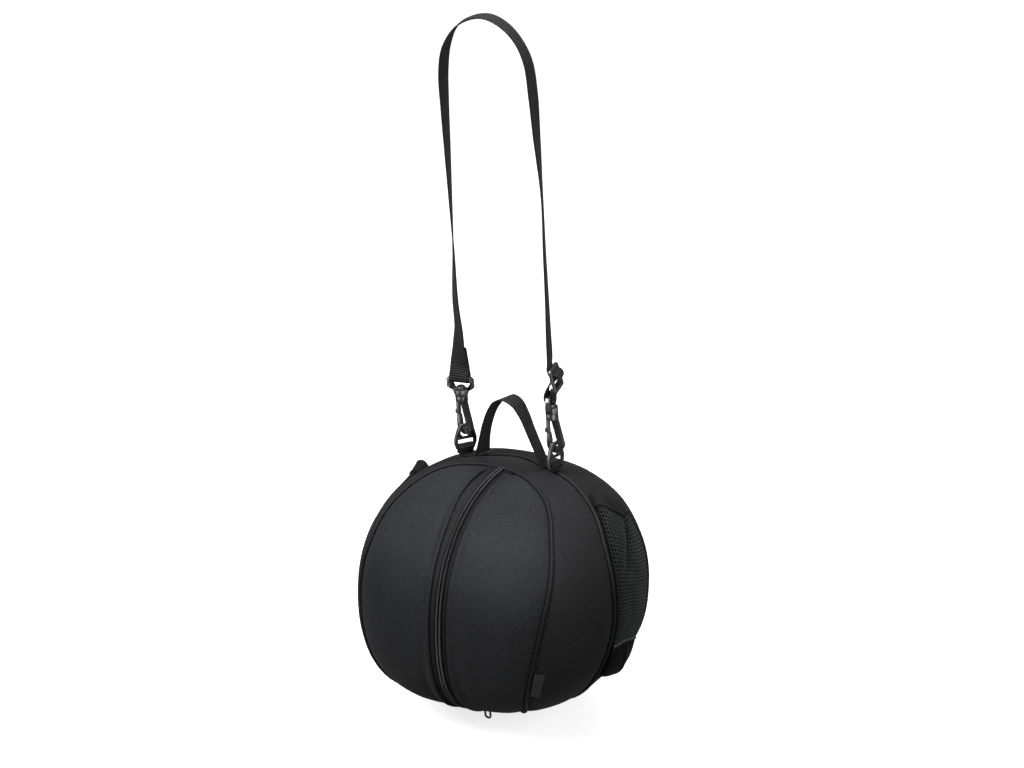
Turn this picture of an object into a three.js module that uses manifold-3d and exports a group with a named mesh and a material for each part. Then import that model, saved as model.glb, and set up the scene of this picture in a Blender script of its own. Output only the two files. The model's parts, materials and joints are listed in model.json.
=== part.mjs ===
// A ball bag of black woven polyester, hung by its shoulder strap: a round zipped body with piped
// seams, a mesh pocket on each side, a webbing handle, and a strap on two plastic swivel hooks.
// Millimetres, +Z up, the zip faces -Y. The origin is under the top of the strap's arch.
import * as THREE from "three";
import { mergeVertices } from "three/addons/utils/BufferGeometryUtils.js";
import Module from "manifold-3d";

const wasm = await Module();
wasm.setup();

// Driving dimensions
const BAG_CENTRE = new THREE.Vector3(12, 8, -569);
const BODY = { halfWidth: 140, halfDepth: 134, halfHeight: 123, fullness: 2.3, lean: 0.034 };
// The ball pushes the cloth out most at the lower left of the front.
const SAG = { share: 0.046, angle: 52, turn: -136, spread: 0.09 };
const CLOTH = 1.6;
const GAP = 0.35;
const PIPING = { radius: 1.5, lift: -0.3, sides: 6 };
const SEAM_EDGE = PIPING.radius + 0.8;
const SEAM_SINK = { depth: 1.2, reach: 9 };
const ROUND_STEPS = 48;

// Angle of each seam from the front pole, a row for every 15 degrees of turn round the front axis:
// 90 is the top, 0 the side and -90 the bottom. The stuffed bag sits a little askew at the front.
const SEAM_TURN = 15;
const SEAMS = [
  { turn: 90, frontRight: 89, frontLeft: 89, back: 106.5 },
  { turn: 75, frontRight: 84.7, frontLeft: 88.5, back: 101.5 },
  { turn: 60, frontRight: 75.5, frontLeft: 85, back: 98 },
  { turn: 45, frontRight: 61.3, frontLeft: 70, back: 90.5 },
  { turn: 30, frontRight: 51.3, frontLeft: 56.5, back: 81.5 },
  { turn: 15, frontRight: 44.3, frontLeft: 51.5, back: 77.8 },
  { turn: 0, frontRight: 41, frontLeft: 49.2, back: 77 },
  { turn: -15, frontRight: 40.3, frontLeft: 47.5, back: 75.5 },
  { turn: -30, frontRight: 42.4, frontLeft: 47.5, back: 75.5 },
  { turn: -45, frontRight: 48.5, frontLeft: 51, back: 79 },
  { turn: -60, frontRight: 60.5, frontLeft: 61, back: 86 },
  { turn: -75, frontRight: 74, frontLeft: 74, back: 93 },
  { turn: -90, frontRight: 81, frontLeft: 81, back: 96 },
];

const ZIP = { half: 9.5, coilHalf: 2.5, top: 87.3, bottom: -77.8, steps: 24 };
// The left panel's edge stands further off the coil near the top of the zip.
const ZIP_SPREAD = { by: 5, at: 68, reach: 18 };
const ZIP_TAPE = { lift: -0.9, thick: 0.8 };
const ZIP_COIL = { lift: 0.7, thick: 2.2 };
const SLIDER = { at: -74, width: 9, length: 11, top: 2.9, bridge: 2.2, eye: 4.35 };
const PULL = { length: 17, half: 3.7, wire: 1.6, back: 0.2, down: 0.98 };

const POCKET = { rear: 110, mesh: 1.2, base: 1.6, hem: 2.4, hemTurn: 5, steps: 12 };
// Each pocket's lift off the body, the turn of its rim at the front, and how far its net and its rim
// stand out. The left one hugs the body and gapes only at the rim, the right one opens more slowly.
const POCKETS = [
  { name: "left", side: -1, lift: 0.5, rim: 49, net: 0.2, gape: 8, tightness: 12 },
  { name: "right", side: 1, lift: 0.8, rim: 50, net: 1.2, gape: 8.5, tightness: 3 },
];
// How far the rim, the waist and the foot fall to the rear, and the bulge of the base.
const POCKET_RIM = { fall: 10, flatFrom: 0.75 };
const POCKET_WAIST = { front: -11.5, fall: 14 };
const POCKET_FOOT = { front: -25, fall: 10 };
const POCKET_BASE = { stand: 6.5, upPower: 0.6, sharePower: 0.7 };
// A slanting fold hangs in the net from the rear of the rim.
const POCKET_FOLD = { at: 0.29, turn: 19.7, slant: 0.0255, depth: 3.5, width: 0.09, fadeFrom: 12, fadeTo: 28 };

const LABEL = { top: -20, bottom: -37, near: 1.2, far: 5.4, thick: 0.9 };

const WEBBING = { half: 10, thick: 1.5 };
// Middle line of the handle from left to right, with the compass turn of the webbing's width.
const HANDLE = [
  { across: -35, back: 23, height: 121.8, turn: 72 },
  { across: -31.5, back: 20.5, height: 138, turn: 83 },
  { across: -26, back: 17, height: 157, turn: 85 },
  { across: -19, back: 14.5, height: 174, turn: 82 },
  { across: -10, back: 12.5, height: 186.5, turn: 75 },
  { across: 0, back: 11.5, height: 191, turn: 76 },
  { across: 9, back: 12.5, height: 187, turn: 85 },
  { across: 16, back: 14.5, height: 175, turn: 92 },
  { across: 22.5, back: 17, height: 157, turn: 96 },
  { across: 29, back: 20.5, height: 138, turn: 97 },
  { across: 35, back: 23, height: 121.8, turn: 97 },
];
const HANDLE_STEPS = 28;

// Each hook stands on its ring, with its own lean, and its loop turns on the hook's neck.
const RING_BACK = 23;
const HOOK_SEAT = 144.1;
const SIDES = [
  { name: "left", across: -54, leanOver: -1.8, ringTurn: 54, hookTurn: -10, loopTurn: 185 },
  { name: "right", across: 46, leanOver: -2, ringTurn: 77, hookTurn: 3, loopTurn: 103 },
];
const HOOK_LEAN = { back: -5, up: 55.5 };
const RING = { thick: 3, holeHalf: 5.6 };
const TAB = { half: 8, thick: 1.4, wrap: 3.45, barHeight: 124.65, meet: 1.75 };
const HOOK = { thick: 5.4, bendAcross: 1.2, neck: 2.6, knob: 4.3, collar: 6.4, collarFoot: 30.6 };
const GATE = { thick: 4.4, top: 30 };
const LOOP = { thick: 4.6, half: 14, barrel: 6.5, bore: 3, barHeight: 55.4 };
const STRAP_WRAP = 4.05;

// Middle line of the strap above its two ends, from left to right over the arch.
const STRAP = [
  { across: -55.8, height: 250, turn: 142 },
  { across: -58, height: 282, turn: 134 },
  { across: -57.5, height: 334, turn: 122 },
  { across: -58.2, height: 385, turn: 113 },
  { across: -59, height: 436, turn: 104 },
  { across: -59.7, height: 480, turn: 97 },
  { across: -59.4, height: 513, turn: 92 },
  { across: -55.2, height: 537, turn: 94 },
  { across: -45, height: 555.5, turn: 104 },
  { across: -28.5, height: 566.5, turn: 100 },
  { across: -12, height: 569.75, turn: 96 },
  { across: 4, height: 564.5, turn: 97 },
  { across: 18.5, height: 552, turn: 99 },
  { across: 29, height: 532, turn: 95 },
  { across: 33.5, height: 500, turn: 93 },
  { across: 35.8, height: 464, turn: 99 },
  { across: 39.5, height: 405, turn: 114 },
  { across: 40.4, height: 350, turn: 112 },
  { across: 41.6, height: 299, turn: 109 },
  { across: 42.2, height: 262, turn: 105 },
];
const STRAP_LEAN = { foot: 117, footBack: 24, top: 569, topBack: -8 };
const STRAP_STEPS = 56;
// The left end, sewn back on itself above its bar: offsets from the bar, outward and upward.
const SEWN_END = [
  { out: 0.95, up: 34 },
  { out: 0.95, up: 23 },
  { out: 0.95, up: 13 },
  { out: 1.7, up: 9 },
  { out: 3.3, up: 4.5 },
];
const SEWN_TURN = { bar: 185, top: 152, from: 9, to: 34 };
// The right end, down through the adjuster, round its bar and back to the adjuster's middle bar.
const ADJUSTER = { out: 5, up: 19, tilt: 17, half: 14, reach: 12, thick: 3 };
const ADJUSTER_BARS = { end: 4, middle: 2.4, slotHalf: 10.6 };
const ADJUSTED_DOWN = [
  { out: -1.2, up: 36 },
  { out: -1.4, up: 30 },
  { out: -0.6, up: 27.6 },
  { out: 0.3, up: 25 },
  { out: 3.4, up: 25 },
  { out: 7.6, up: 24.4 },
  { out: 10.1, up: 20.6 },
  { out: 9.4, up: 17 },
  { out: 6.6, up: 13.9 },
  { out: 4.5, up: 11.2 },
  { out: 4.8, up: 8.4 },
  { out: 4.5, up: 4 },
];
const ADJUSTED_BACK = [
  { out: -4, up: 4 },
  { out: -1.4, up: 11 },
  { out: 1.9, up: 16.6 },
  { out: 2, up: 19.9 },
  { out: 3.2, up: 21.8 },
  { out: 6.2, up: 22.2 },
  { out: 7.9, up: 20.2 },
];

// Finishes
const material = (color, roughness) => new THREE.MeshStandardMaterial({ color, roughness, metalness: 0 });
const POLYESTER = material("#333335", 0.85);
const NET = material("#26292a", 0.8);
const TAPE = material("#2a2a2b", 0.8);
const WEB = material("#2b2b2c", 0.75);
const NYLON = material("#3a3a3b", 0.45);
const PAINT = material("#222223", 0.4);
const LABEL_CLOTH = material("#4a4a4c", 0.7);

const bag = new THREE.Group();
bag.position.copy(BAG_CENTRE);

const radians = THREE.MathUtils.degToRad;
const lerp = THREE.MathUtils.lerp;
const vector = (x, y, z) => new THREE.Vector3(x, y, z);
const compass = (turn) => vector(Math.cos(radians(turn)), Math.sin(radians(turn)), 0);
const outward = (turn) => compass(turn - 90);

function add(name, geometry, finish, parent = bag) {
  geometry.computeVertexNormals();
  const mesh = new THREE.Mesh(geometry, finish);
  mesh.name = name;
  parent.add(mesh);
}

// Joins equal closed sections into one solid. A section runs along its outer side and back along
// its inner side, so that an open end closes with one strip between the two sides.
function loft(sections, closed = false) {
  const size = sections[0].length;
  const positions = sections.flat().flatMap((p) => [p.x, p.y, p.z]);
  const index = [];
  const quad = (a, b, c, d) => index.push(a, b, c, a, c, d);
  const spans = closed ? sections.length : sections.length - 1;
  for (let i = 0; i < spans; i++) {
    const here = i * size;
    const next = ((i + 1) % sections.length) * size;
    for (let j = 0; j < size; j++) {
      const k = (j + 1) % size;
      quad(here + j, here + k, next + k, next + j);
    }
  }
  if (!closed) {
    const last = (sections.length - 1) * size;
    for (let j = 0; j < size / 2 - 1; j++) {
      const far = size - 1 - j;
      quad(j, far, far - 1, j + 1);
      quad(last + j, last + j + 1, last + far - 1, last + far);
    }
  }
  return facingOut(positions, index);
}

function facingOut(positions, index) {
  const at = (i) => vector(positions[3 * i], positions[3 * i + 1], positions[3 * i + 2]);
  let volume = 0;
  for (let i = 0; i < index.length; i += 3) {
    volume += at(index[i]).dot(at(index[i + 1]).cross(at(index[i + 2])));
  }
  if (volume < 0) {
    index.reverse();
  }
  const geometry = new THREE.BufferGeometry();
  geometry.setAttribute("position", new THREE.Float32BufferAttribute(positions, 3));
  geometry.setIndex(index);
  return geometry;
}

// The body's surface
function direction(angle, turn) {
  const side = Math.sin(radians(angle));
  return vector(side * Math.cos(radians(turn)), -Math.cos(radians(angle)), side * Math.sin(radians(turn)));
}

const SAG_TOWARDS = direction(SAG.angle, SAG.turn);
function bodyPoint(towards, lift) {
  const q = BODY.fullness;
  const halves = [BODY.halfWidth, BODY.halfDepth, BODY.halfHeight];
  const unit = towards.clone().normalize();
  const sum = unit.toArray().reduce((total, c, i) => total + (Math.abs(c) / halves[i]) ** q, 0);
  const lean = BODY.lean * unit.x * unit.z * (1 - unit.z ** 2);
  const sag = SAG.share * Math.exp((unit.dot(SAG_TOWARDS) - 1) / SAG.spread);
  const point = unit.multiplyScalar(sum ** (-1 / q) * (1 + lean + sag));
  const steepness = (c, half) => (Math.sign(c) * (Math.abs(c) / half) ** (q - 1)) / half;
  const slope = point.toArray().map((c, i) => steepness(c, halves[i]));
  return point.addScaledVector(vector(...slope).normalize(), lift);
}

function seamAngle(seam, turn) {
  const rows = SEAMS.length - 1;
  const knot = (k) => {
    const place = ((k % (2 * rows)) + 2 * rows) % (2 * rows);
    const row = SEAMS[place <= rows ? place : 2 * rows - place];
    return seam === "back" ? row.back : place <= rows ? row.frontRight : row.frontLeft;
  };
  const place = (SEAMS[0].turn - turn) / SEAM_TURN;
  const k = Math.floor(place);
  const f = place - k;
  const [a, b, c, d] = [knot(k - 1), knot(k), knot(k + 1), knot(k + 2)];
  const bend = 2 * a - 5 * b + 4 * c - d + (3 * b - a - 3 * c + d) * f;
  return b + 0.5 * f * (c - a + f * bend);
}

// A seam's angle moved sideways by a distance on the cloth, across the seam's own run.
function besideSeam(seam, turn, distance) {
  const angle = seamAngle(seam, turn);
  const run = (seamAngle(seam, turn + 1) - seamAngle(seam, turn - 1)) / 2 / Math.sin(radians(angle));
  const radius = bodyPoint(direction(angle, turn), 0).length();
  return angle + (THREE.MathUtils.radToDeg(distance / radius) * Math.hypot(1, run));
}

// A panel's section between two directions, drawn in towards the seam at both edges.
const PANEL_ACROSS = [0, 0.05, 0.14, 0.32, 0.5, 0.68, 0.86, 0.95, 1];
function panelSection(from, to) {
  const width = from.angleTo(to) * BODY.halfDepth;
  const outer = [];
  const inner = [];
  for (const share of PANEL_ACROSS) {
    const towards = from.clone().lerp(to, share);
    const edge = Math.min(share, 1 - share) * width;
    const lift = -SEAM_SINK.depth * Math.exp(-((edge / SEAM_SINK.reach) ** 2));
    outer.push(bodyPoint(towards, lift));
    inner.unshift(bodyPoint(towards, lift - CLOTH));
  }
  return [...outer, ...inner];
}

function zipEdge(side, rise) {
  const spread = side < 0 ? ZIP_SPREAD.by * Math.exp(-(((rise - ZIP_SPREAD.at) / ZIP_SPREAD.reach) ** 2)) : 0;
  return side * (ZIP.half + spread);
}

function zipDirection(rise, across) {
  const middle = bodyPoint(vector(0, -Math.cos(radians(rise)), Math.sin(radians(rise))), 0);
  return middle.setX(across).normalize();
}

// Front panels, one each side of the zip, out to the front seam
const PANEL_STEPS = 22;
const PANEL_TURN = 86;
for (const [name, side] of [["panel_front_left", -1], ["panel_front_right", 1]]) {
  const sections = [];
  for (let i = 0; i <= PANEL_STEPS; i++) {
    const share = i / PANEL_STEPS;
    const rise = lerp(ZIP.top, ZIP.bottom, share);
    const turn = lerp(PANEL_TURN, -PANEL_TURN, share);
    const around = side > 0 ? turn : 180 - turn;
    const seam = direction(besideSeam("front", around, -SEAM_EDGE), around);
    sections.push(panelSection(zipDirection(rise, zipEdge(side, rise) + side * GAP), seam));
  }
  add(name, loft(sections), POLYESTER);
}

// Gusset band between the two seams, right round over the top and under the bottom
const roundTurns = Array.from({ length: ROUND_STEPS }, (_, i) => 90 - (360 * i) / ROUND_STEPS);
const bandSections = roundTurns.map((turn) => panelSection(
  direction(besideSeam("front", turn, SEAM_EDGE), turn),
  direction(besideSeam("back", turn, -SEAM_EDGE), turn),
));
add("panel_band", loft(bandSections, true), POLYESTER);

// Back panel, a bowl from the back seam to the back pole
const BACK_RINGS = [0, 0.06, 0.17, 0.34, 0.52, 0.7, 0.86];
function backPanel() {
  const points = [];
  const index = [];
  for (const depth of [0, CLOTH]) {
    for (const share of BACK_RINGS) {
      for (const turn of roundTurns) {
        const start = besideSeam("back", turn, SEAM_EDGE);
        const edge = share * radians(180 - start) * BODY.halfDepth;
        const lift = -SEAM_SINK.depth * Math.exp(-((edge / SEAM_SINK.reach) ** 2));
        points.push(bodyPoint(direction(lerp(start, 180, share), turn), lift - depth));
      }
    }
    points.push(bodyPoint(vector(0, 1, 0), -depth));
  }
  const wall = BACK_RINGS.length * ROUND_STEPS + 1;
  const triangle = (a, b, c) => index.push(a, b, c, wall + a, wall + c, wall + b);
  for (let j = 0; j < ROUND_STEPS; j++) {
    const k = (j + 1) % ROUND_STEPS;
    for (let i = 0; i < BACK_RINGS.length - 1; i++) {
      const here = i * ROUND_STEPS;
      const next = here + ROUND_STEPS;
      triangle(here + j, here + k, next + k);
      triangle(here + j, next + k, next + j);
    }
    const lastRing = (BACK_RINGS.length - 1) * ROUND_STEPS;
    triangle(lastRing + j, lastRing + k, wall - 1);
    index.push(j, wall + j, k, wall + j, wall + k, k);
  }
  return facingOut(points.flatMap((p) => p.toArray()), index);
}
add("panel_back", backPanel(), POLYESTER);

// Piping along both seams
function tube(line, radius, sides) {
  return line.map((point, i) => {
    const before = line[(i + line.length - 1) % line.length];
    const after = line[(i + 1) % line.length];
    const along = after.clone().sub(before).normalize();
    const out = point.clone().addScaledVector(along, -point.dot(along)).normalize();
    const across = along.clone().cross(out);
    return Array.from({ length: sides }, (_, k) => {
      const spin = (2 * Math.PI * (k + 0.5)) / sides;
      const reach = out.clone().multiplyScalar(Math.cos(spin)).addScaledVector(across, Math.sin(spin));
      return point.clone().addScaledVector(reach, radius);
    });
  });
}
for (const [name, seam] of [["piping_front", "front"], ["piping_back", "back"]]) {
  const line = roundTurns.map((turn) => bodyPoint(direction(seamAngle(seam, turn), turn), PIPING.lift));
  add(name, loft(tube(line, PIPING.radius, PIPING.sides), true), POLYESTER);
}

// Zip: two tapes and the closed coil down the middle of the front
function zipStrip(from, to, lift, thick) {
  const sections = [];
  for (let i = 0; i <= ZIP.steps; i++) {
    const rise = lerp(ZIP.top - 0.4, ZIP.bottom + 0.4, i / ZIP.steps);
    const edges = [zipDirection(rise, from(rise)), zipDirection(rise, to(rise))];
    const outer = edges.map((edge) => bodyPoint(edge, lift));
    const inner = edges.map((edge) => bodyPoint(edge, lift - thick));
    sections.push([...outer, ...inner.reverse()]);
  }
  return loft(sections);
}
const tapeEdge = ZIP.coilHalf + GAP;
for (const [name, side] of [["zip_tape_left", -1], ["zip_tape_right", 1]]) {
  const outerEdge = (rise) => zipEdge(side, rise);
  add(name, zipStrip(outerEdge, () => side * tapeEdge, ZIP_TAPE.lift, ZIP_TAPE.thick), TAPE);
}
add("zip_coil", zipStrip(() => -ZIP.coilHalf, () => ZIP.coilHalf, ZIP_COIL.lift, ZIP_COIL.thick), TAPE);

// Solids that need joining or cutting
function solid(geometry) {
  const bare = new THREE.BufferGeometry();
  bare.setAttribute("position", geometry.getAttribute("position").clone());
  bare.setIndex(geometry.index);
  const merged = mergeVertices(bare, 1e-3);
  return new wasm.Manifold(new wasm.Mesh({
    numProp: 3,
    vertProperties: merged.getAttribute("position").array,
    triVerts: new Uint32Array(merged.index.array),
  }));
}

function geometryOf(manifold) {
  const mesh = manifold.getMesh();
  const geometry = new THREE.BufferGeometry();
  geometry.setAttribute("position", new THREE.Float32BufferAttribute(mesh.vertProperties, 3));
  geometry.setIndex(new THREE.BufferAttribute(mesh.triVerts, 1));
  return geometry;
}

// An outline in the upright plane, given a thickness from front to back
function upright(shape, thick) {
  const options = { depth: thick, bevelEnabled: false, curveSegments: 7 };
  const geometry = new THREE.ExtrudeGeometry(shape, options);
  return geometry.rotateX(Math.PI / 2).translate(0, thick / 2, 0);
}

function outline(points) {
  return new THREE.Shape(points.map(([x, z]) => new THREE.Vector2(x, z)));
}

function post(radius, foot, top, sides = 14) {
  const geometry = new THREE.CylinderGeometry(radius, radius, top - foot, sides);
  return geometry.rotateX(Math.PI / 2).translate(0, 0, (foot + top) / 2);
}

// A group whose Z runs along an axis and whose X is as near as it can be to a given direction
function frameAt(place, axis, near) {
  const up = axis.clone().normalize();
  const side = near.clone().addScaledVector(up, -near.dot(up)).normalize();
  const group = new THREE.Group();
  const turn = new THREE.Matrix4().makeBasis(side, up.clone().cross(side), up);
  group.quaternion.setFromRotationMatrix(turn);
  group.position.copy(place);
  bag.add(group);
  return group;
}

// Zip slider on the coil near the bottom, with its pull hanging from the bridge
const sliderOn = zipDirection(SLIDER.at, 0);
const sliderSeat = bodyPoint(sliderOn, 0);
const sliderOut = bodyPoint(sliderOn, 1).sub(sliderSeat);
const sliderFrame = frameAt(sliderSeat, sliderOut, vector(1, 0, 0));
const half = SLIDER.width / 2;
const channel = ZIP.coilHalf + 0.6;
const saddle = upright(outline([
  [-half, -0.4], [-channel, -0.4], [-channel, 1.2], [channel, 1.2], [channel, -0.4],
  [half, -0.4], [half, SLIDER.top - 0.8], [half - 1.2, SLIDER.top], [1.2 - half, SLIDER.top],
  [-half, SLIDER.top - 0.8],
]), SLIDER.length);
const bridgeShape = outline([
  [-4, SLIDER.top - 0.4], [4, SLIDER.top - 0.4], [4, SLIDER.top + 2.9], [2.8, SLIDER.top + 4.3],
  [-2.8, SLIDER.top + 4.3], [-4, SLIDER.top + 2.9],
]);
bridgeShape.holes.push(outline([
  [-2.4, SLIDER.top], [-2.4, SLIDER.top + 2.9], [2.4, SLIDER.top + 2.9], [2.4, SLIDER.top],
]));
const bridge = upright(bridgeShape, SLIDER.bridge).rotateZ(Math.PI / 2);
add("zip_slider", geometryOf(solid(saddle).add(solid(bridge))), PAINT, sliderFrame);

const eyeAt = sliderSeat.clone().addScaledVector(sliderOut, SLIDER.eye);
const pullFrame = frameAt(eyeAt, vector(0, -PULL.back, PULL.down), vector(1, 0, 0));
const pullFoot = -(PULL.length - PULL.half);
const pullShape = new THREE.Shape();
pullShape.moveTo(-PULL.half, PULL.wire / 2);
pullShape.lineTo(-PULL.half, pullFoot);
pullShape.absarc(0, pullFoot, PULL.half, Math.PI, 2 * Math.PI, false);
pullShape.lineTo(PULL.half, PULL.wire / 2);
const pullHole = new THREE.Path();
const pullInside = PULL.half - PULL.wire;
pullHole.moveTo(-pullInside, -PULL.wire / 2);
pullHole.lineTo(-pullInside, pullFoot);
pullHole.absarc(0, pullFoot, pullInside, Math.PI, 2 * Math.PI, false);
pullHole.lineTo(pullInside, -PULL.wire / 2);
pullShape.holes.push(pullHole);
add("zip_pull", upright(pullShape, PULL.wire), PAINT, pullFrame);

// Side pockets behind the back seam: mesh with a hem at the rim and a cloth base
function pocketRim(pocket, share) {
  const fall = Math.sin((Math.PI / 2) * Math.min(1, share / POCKET_RIM.flatFrom));
  return pocket.rim - POCKET_RIM.fall * fall;
}
const pocketWaist = (pocket, share) => POCKET_WAIST.front - POCKET_WAIST.fall * share ** 2;
const pocketFoot = (pocket, share) => POCKET_FOOT.front - POCKET_FOOT.fall * Math.sqrt(share);
function pocketStand(pocket, turn, share) {
  const waist = pocketWaist(pocket, share);
  if (turn < waist) {
    const foot = pocketFoot(pocket, share);
    const up = Math.max(0, (turn - foot) / (waist - foot)) ** POCKET_BASE.upPower;
    return POCKET_BASE.stand * Math.sin(Math.PI * up) * Math.sin(Math.PI * share ** POCKET_BASE.sharePower);
  }
  const up = (turn - waist) / (pocketRim(pocket, share) - waist);
  const swell = pocket.net * Math.sin(Math.PI * up) + pocket.gape * up ** pocket.tightness;
  const foldAt = POCKET_FOLD.at + POCKET_FOLD.slant * (turn - POCKET_FOLD.turn);
  const fade = THREE.MathUtils.smoothstep(turn, POCKET_FOLD.fadeFrom, POCKET_FOLD.fadeTo);
  const fold = POCKET_FOLD.depth * fade * Math.exp(-(((share - foldAt) / POCKET_FOLD.width) ** 2));
  return Math.max(0, swell * Math.sin(Math.PI * Math.sqrt(share)) - fold);
}
function pocketPiece(pocket, low, high, steps, thick) {
  const sections = [];
  for (let i = 0; i <= POCKET.steps; i++) {
    const share = Math.min(i / POCKET.steps, 1 - 1e-6);
    const outer = [];
    const inner = [];
    for (let j = 0; j <= steps; j++) {
      const turn = lerp(low(pocket, share), high(pocket, share), j / steps);
      const around = pocket.side > 0 ? turn : 180 - turn;
      const towards = direction(lerp(besideSeam("back", around, SEAM_EDGE), POCKET.rear, share), around);
      const lift = pocket.lift + pocketStand(pocket, turn, share);
      outer.push(bodyPoint(towards, lift + thick));
      inner.unshift(bodyPoint(towards, lift));
    }
    sections.push([...outer, ...inner]);
  }
  return loft(sections);
}
const joinTurn = 0.15;
const hemFoot = (pocket, share) => pocketRim(pocket, share) - POCKET.hemTurn;
const baseTop = (pocket, share) => pocketWaist(pocket, share) - joinTurn;
const meshTop = (pocket, share) => hemFoot(pocket, share) - joinTurn;
for (const pocket of POCKETS) {
  add(`pocket_base_${pocket.name}`, pocketPiece(pocket, pocketFoot, baseTop, 6, POCKET.base), POLYESTER);
  add(`pocket_mesh_${pocket.name}`, pocketPiece(pocket, pocketWaist, meshTop, 7, POCKET.mesh), NET);
  add(`pocket_hem_${pocket.name}`, pocketPiece(pocket, hemFoot, pocketRim, 1, POCKET.hem), POLYESTER);
}

// Blank woven label, sewn into the front seam and lying on the band
const labelSections = Array.from({ length: 5 }, (_, i) => {
  const turn = lerp(LABEL.top, LABEL.bottom, i / 4);
  const edges = [LABEL.near, LABEL.far].map((off) => direction(seamAngle("front", turn) + off, turn));
  const outer = edges.map((edge) => bodyPoint(edge, GAP + LABEL.thick));
  const inner = edges.map((edge) => bodyPoint(edge, GAP));
  return [...outer, ...inner.reverse()];
});
add("label", loft(labelSections), LABEL_CLOTH);

// A ribbon along a line, with the direction of its width at each point
function ribbon(line, widths, halfWidth, thick) {
  const sections = line.map((point, i) => {
    const before = line[Math.max(i - 1, 0)];
    const after = line[Math.min(i + 1, line.length - 1)];
    const along = after.clone().sub(before).normalize();
    const across = widths[i].clone().addScaledVector(along, -widths[i].dot(along)).normalize();
    const face = along.clone().cross(across);
    const corner = (w, t) => {
      const edge = point.clone().addScaledVector(across, w * halfWidth);
      return edge.addScaledVector(face, (t * thick) / 2);
    };
    return [corner(1, 1), corner(-1, 1), corner(-1, -1), corner(1, -1)];
  });
  return loft(sections);
}

const throughRows = (rows, place) => new THREE.CatmullRomCurve3(rows.map(place), false, "centripetal");
const sample = (curve, steps) => Array.from({ length: steps + 1 }, (_, i) => curve.getPoint(i / steps));

// Carrying handle
const handlePlace = (row) => vector(row.across, row.back, row.height);
const handleLine = sample(throughRows(HANDLE, handlePlace), HANDLE_STEPS);
const handleTurns = sample(throughRows(HANDLE, (row) => vector(row.turn, 0, 0)), HANDLE_STEPS);
const handleWidths = handleTurns.map((turn) => compass(turn.x));
add("handle", ribbon(handleLine, handleWidths, WEBBING.half, WEBBING.thick), WEB);

// Rings on webbing tabs, and the swivel hooks that hold them
const ringShape = outline([
  [-6.5, 149.6], [-9.2, 144], [-12, 134], [-12, 129], [-9.8, 122.75],
  [9.8, 122.75], [12, 129], [12, 134], [9.2, 144], [6.5, 149.6],
]);
ringShape.holes.push(outline([
  [-4.6, 146], [4.6, 146], [RING.holeHalf, 144.6], [RING.holeHalf, 139.5], [2.6, 135.7],
  [-2.6, 135.7], [-RING.holeHalf, 139.5], [-RING.holeHalf, 144.6],
]));
ringShape.holes.push(outline([[-8.6, 126.55], [-8.6, 133.3], [8.6, 133.3], [8.6, 126.55]]));

const hookShape = new THREE.Shape();
hookShape.moveTo(-0.6, 31);
hookShape.lineTo(4.8, 5);
hookShape.absarc(HOOK.bendAcross, 3.6, 3.6, 0, Math.PI, true);
hookShape.lineTo(-2.4, 8);
hookShape.lineTo(-3.2, 14.6);
hookShape.lineTo(-6.4, 14.6);
hookShape.lineTo(-7, 3.4);
hookShape.absarc(1.9, 3.4, 8.9, Math.PI, 2 * Math.PI, false);
hookShape.lineTo(5.4, 31);
const gateShape = outline([
  [-3.6, GATE.top], [-6.4, GATE.top], [-6.5, 20.6], [-8.2, 19.6], [-8.2, 16.6], [-6.6, 15], [-3.5, 15],
]);

const loopShape = outline([
  [-6.5, 37.5], [6.5, 37.5], [8, 42], [LOOP.half, 45.5], [LOOP.half, 54.4], [LOOP.half - 3, 57.4],
  [3 - LOOP.half, 57.4], [-LOOP.half, 54.4], [-LOOP.half, 45.5], [-8, 42],
]);
loopShape.holes.push(outline([[-10.9, 43.7], [-10.9, 53.4], [10.9, 53.4], [10.9, 43.7]]));

// A tab runs from the seam up one side of the ring, round its lower bar and down the other side.
function tabLine(across, turn) {
  const foot = bodyPoint(vector(across, RING_BACK, TAB.barHeight - 8), PIPING.radius + 0.9).z;
  const place = (out, height) => vector(across, RING_BACK, height).addScaledVector(outward(turn), out);
  const line = [place(TAB.meet, foot)];
  for (let i = 0; i <= 8; i++) {
    const spin = (Math.PI * i) / 8;
    line.push(place(Math.cos(spin) * TAB.wrap, TAB.barHeight + Math.sin(spin) * TAB.wrap));
  }
  line.push(place(-TAB.meet, foot));
  return line;
}

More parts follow.
